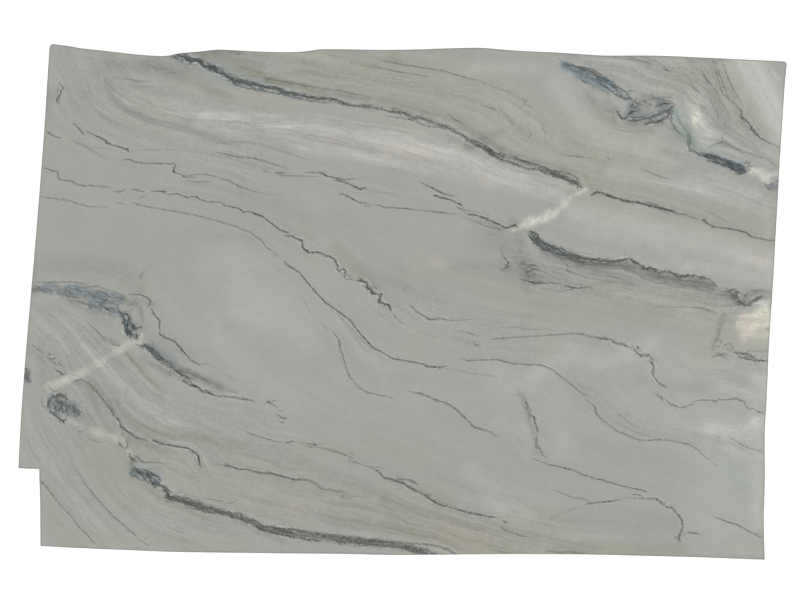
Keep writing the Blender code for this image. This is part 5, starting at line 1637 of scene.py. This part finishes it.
stone = stone_colour_group()
materials = (
    # Polished quartzite: a clear gloss over the veins and the grey ground, with a painted shade line at its
    # outline.
    stone_material("polished_quartzite", stone, roughness=0.16, shade=0.0, tone=STONE, rim=True),
    # Ground quartzite arris: a dull ground finish all round the gloss, its dark grey tone painted shade.
    stone_material("ground_quartzite_arris_painted_shade", stone, roughness=0.45, shade=0.55, tone="6f7069"),
    # Broken quartzite: paler and sugary, without gloss. Its real grains are under a millimetre, and the
    # relief is as coarse as it needs to show.
    stone_material("broken_quartzite", stone, roughness=0.72, shade=0.35, tone="b4b4ad", bump=1.2 * MM,
                   bump_size=9 * MM),
    # Sawn quartzite: dusty and even.
    stone_material("sawn_quartzite", stone, roughness=0.62, shade=0.45, tone="a9a9a2", bump=0.25 * MM,
                   bump_size=4 * MM),
)
slab = finished(build_slab(), materials)
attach(slab, "root")
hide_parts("slab")

# The studio: a pale floor, soft light from all round and a camera over the slab.
FLOOR_HALF = 30.0
FLOOR_GLOW = 0.4
FLOOR_DROP = 1.0 * MM
SOFTBOX_POWER = 128.0
SOFTBOXES = (
    # Name, place, and length and width.
    ("softbox_left", (-5.2, 0.0, 4.2), (3.6, 5.0)),
    ("softbox_right", (5.2, 0.0, 4.2), (3.6, 5.0)),
    ("softbox_front", (0.0, -4.8, 4.2), (5.0, 3.6)),
    ("softbox_rear", (0.0, 4.8, 4.2), (5.0, 3.6)),
)
AIR_GLOW = 0.3
WHITE = (1.0, 1.0, 1.0, 1.0)


def make_floor(half):
    """A square floor under the slab."""
    mesh = bpy.data.meshes.new("floor")
    corners = [(-half, -half, 0), (half, -half, 0), (half, half, 0), (-half, half, 0)]
    mesh.from_pydata(corners, [], [(0, 1, 2, 3)])
    # Matt white paper: an even, shadowless ground that glows a little.
    paper = bpy.data.materials.new("white_paper_floor")
    paper.use_nodes = True
    sheet = paper.node_tree.nodes["Principled BSDF"].inputs
    sheet["Base Color"].default_value = linear("f4f4f2")
    sheet["Roughness"].default_value = 0.9
    sheet["Specular IOR Level"].default_value = 0.1
    sheet["Emission Color"].default_value = WHITE
    sheet["Emission Strength"].default_value = FLOOR_GLOW
    mesh.materials.append(paper)
    floor = bpy.data.objects.new("floor", mesh)
    floor.location.z = -FLOOR_DROP
    bpy.context.scene.collection.objects.link(floor)
    return floor


def make_softbox(name, location, size):
    """A rectangular lamp that faces the slab's middle."""
    light = bpy.data.lights.new(name, "AREA")
    light.shape = "RECTANGLE"
    light.size, light.size_y = size
    light.energy = SOFTBOX_POWER
    lamp = bpy.data.objects.new(name, light)
    lamp.location = location
    lamp.rotation_mode = "QUATERNION"
    lamp.rotation_quaternion = (-Vector(location)).to_track_quat("-Z", "Y")
    bpy.context.scene.collection.objects.link(lamp)
    return lamp


floor = make_floor(FLOOR_HALF)
lamps = [make_softbox(*softbox) for softbox in SOFTBOXES]

scene = bpy.context.scene
world = bpy.data.worlds.new("studio_air")
world.use_nodes = True
air = world.node_tree.nodes["Background"].inputs
air["Color"].default_value = WHITE
air["Strength"].default_value = AIR_GLOW
scene.world = world
scene.view_settings.view_transform = "Standard"
scene.view_settings.look = "None"

# The camera looks straight down and takes in the survey grid.
camera_data = bpy.data.cameras.new("camera")
camera_data.lens = 85.0
camera_data.sensor_width = 36.0
camera = bpy.data.objects.new("camera", camera_data)
height = SURVEY[0] * CELL * camera_data.lens / camera_data.sensor_width + THICKNESS
camera.location = (((SURVEY[0] - 1) / 2 - MIDDLE[0]) * CELL, (MIDDLE[1] - (SURVEY[1] - 1) / 2) * CELL, height)
scene.collection.objects.link(camera)
scene.camera = camera
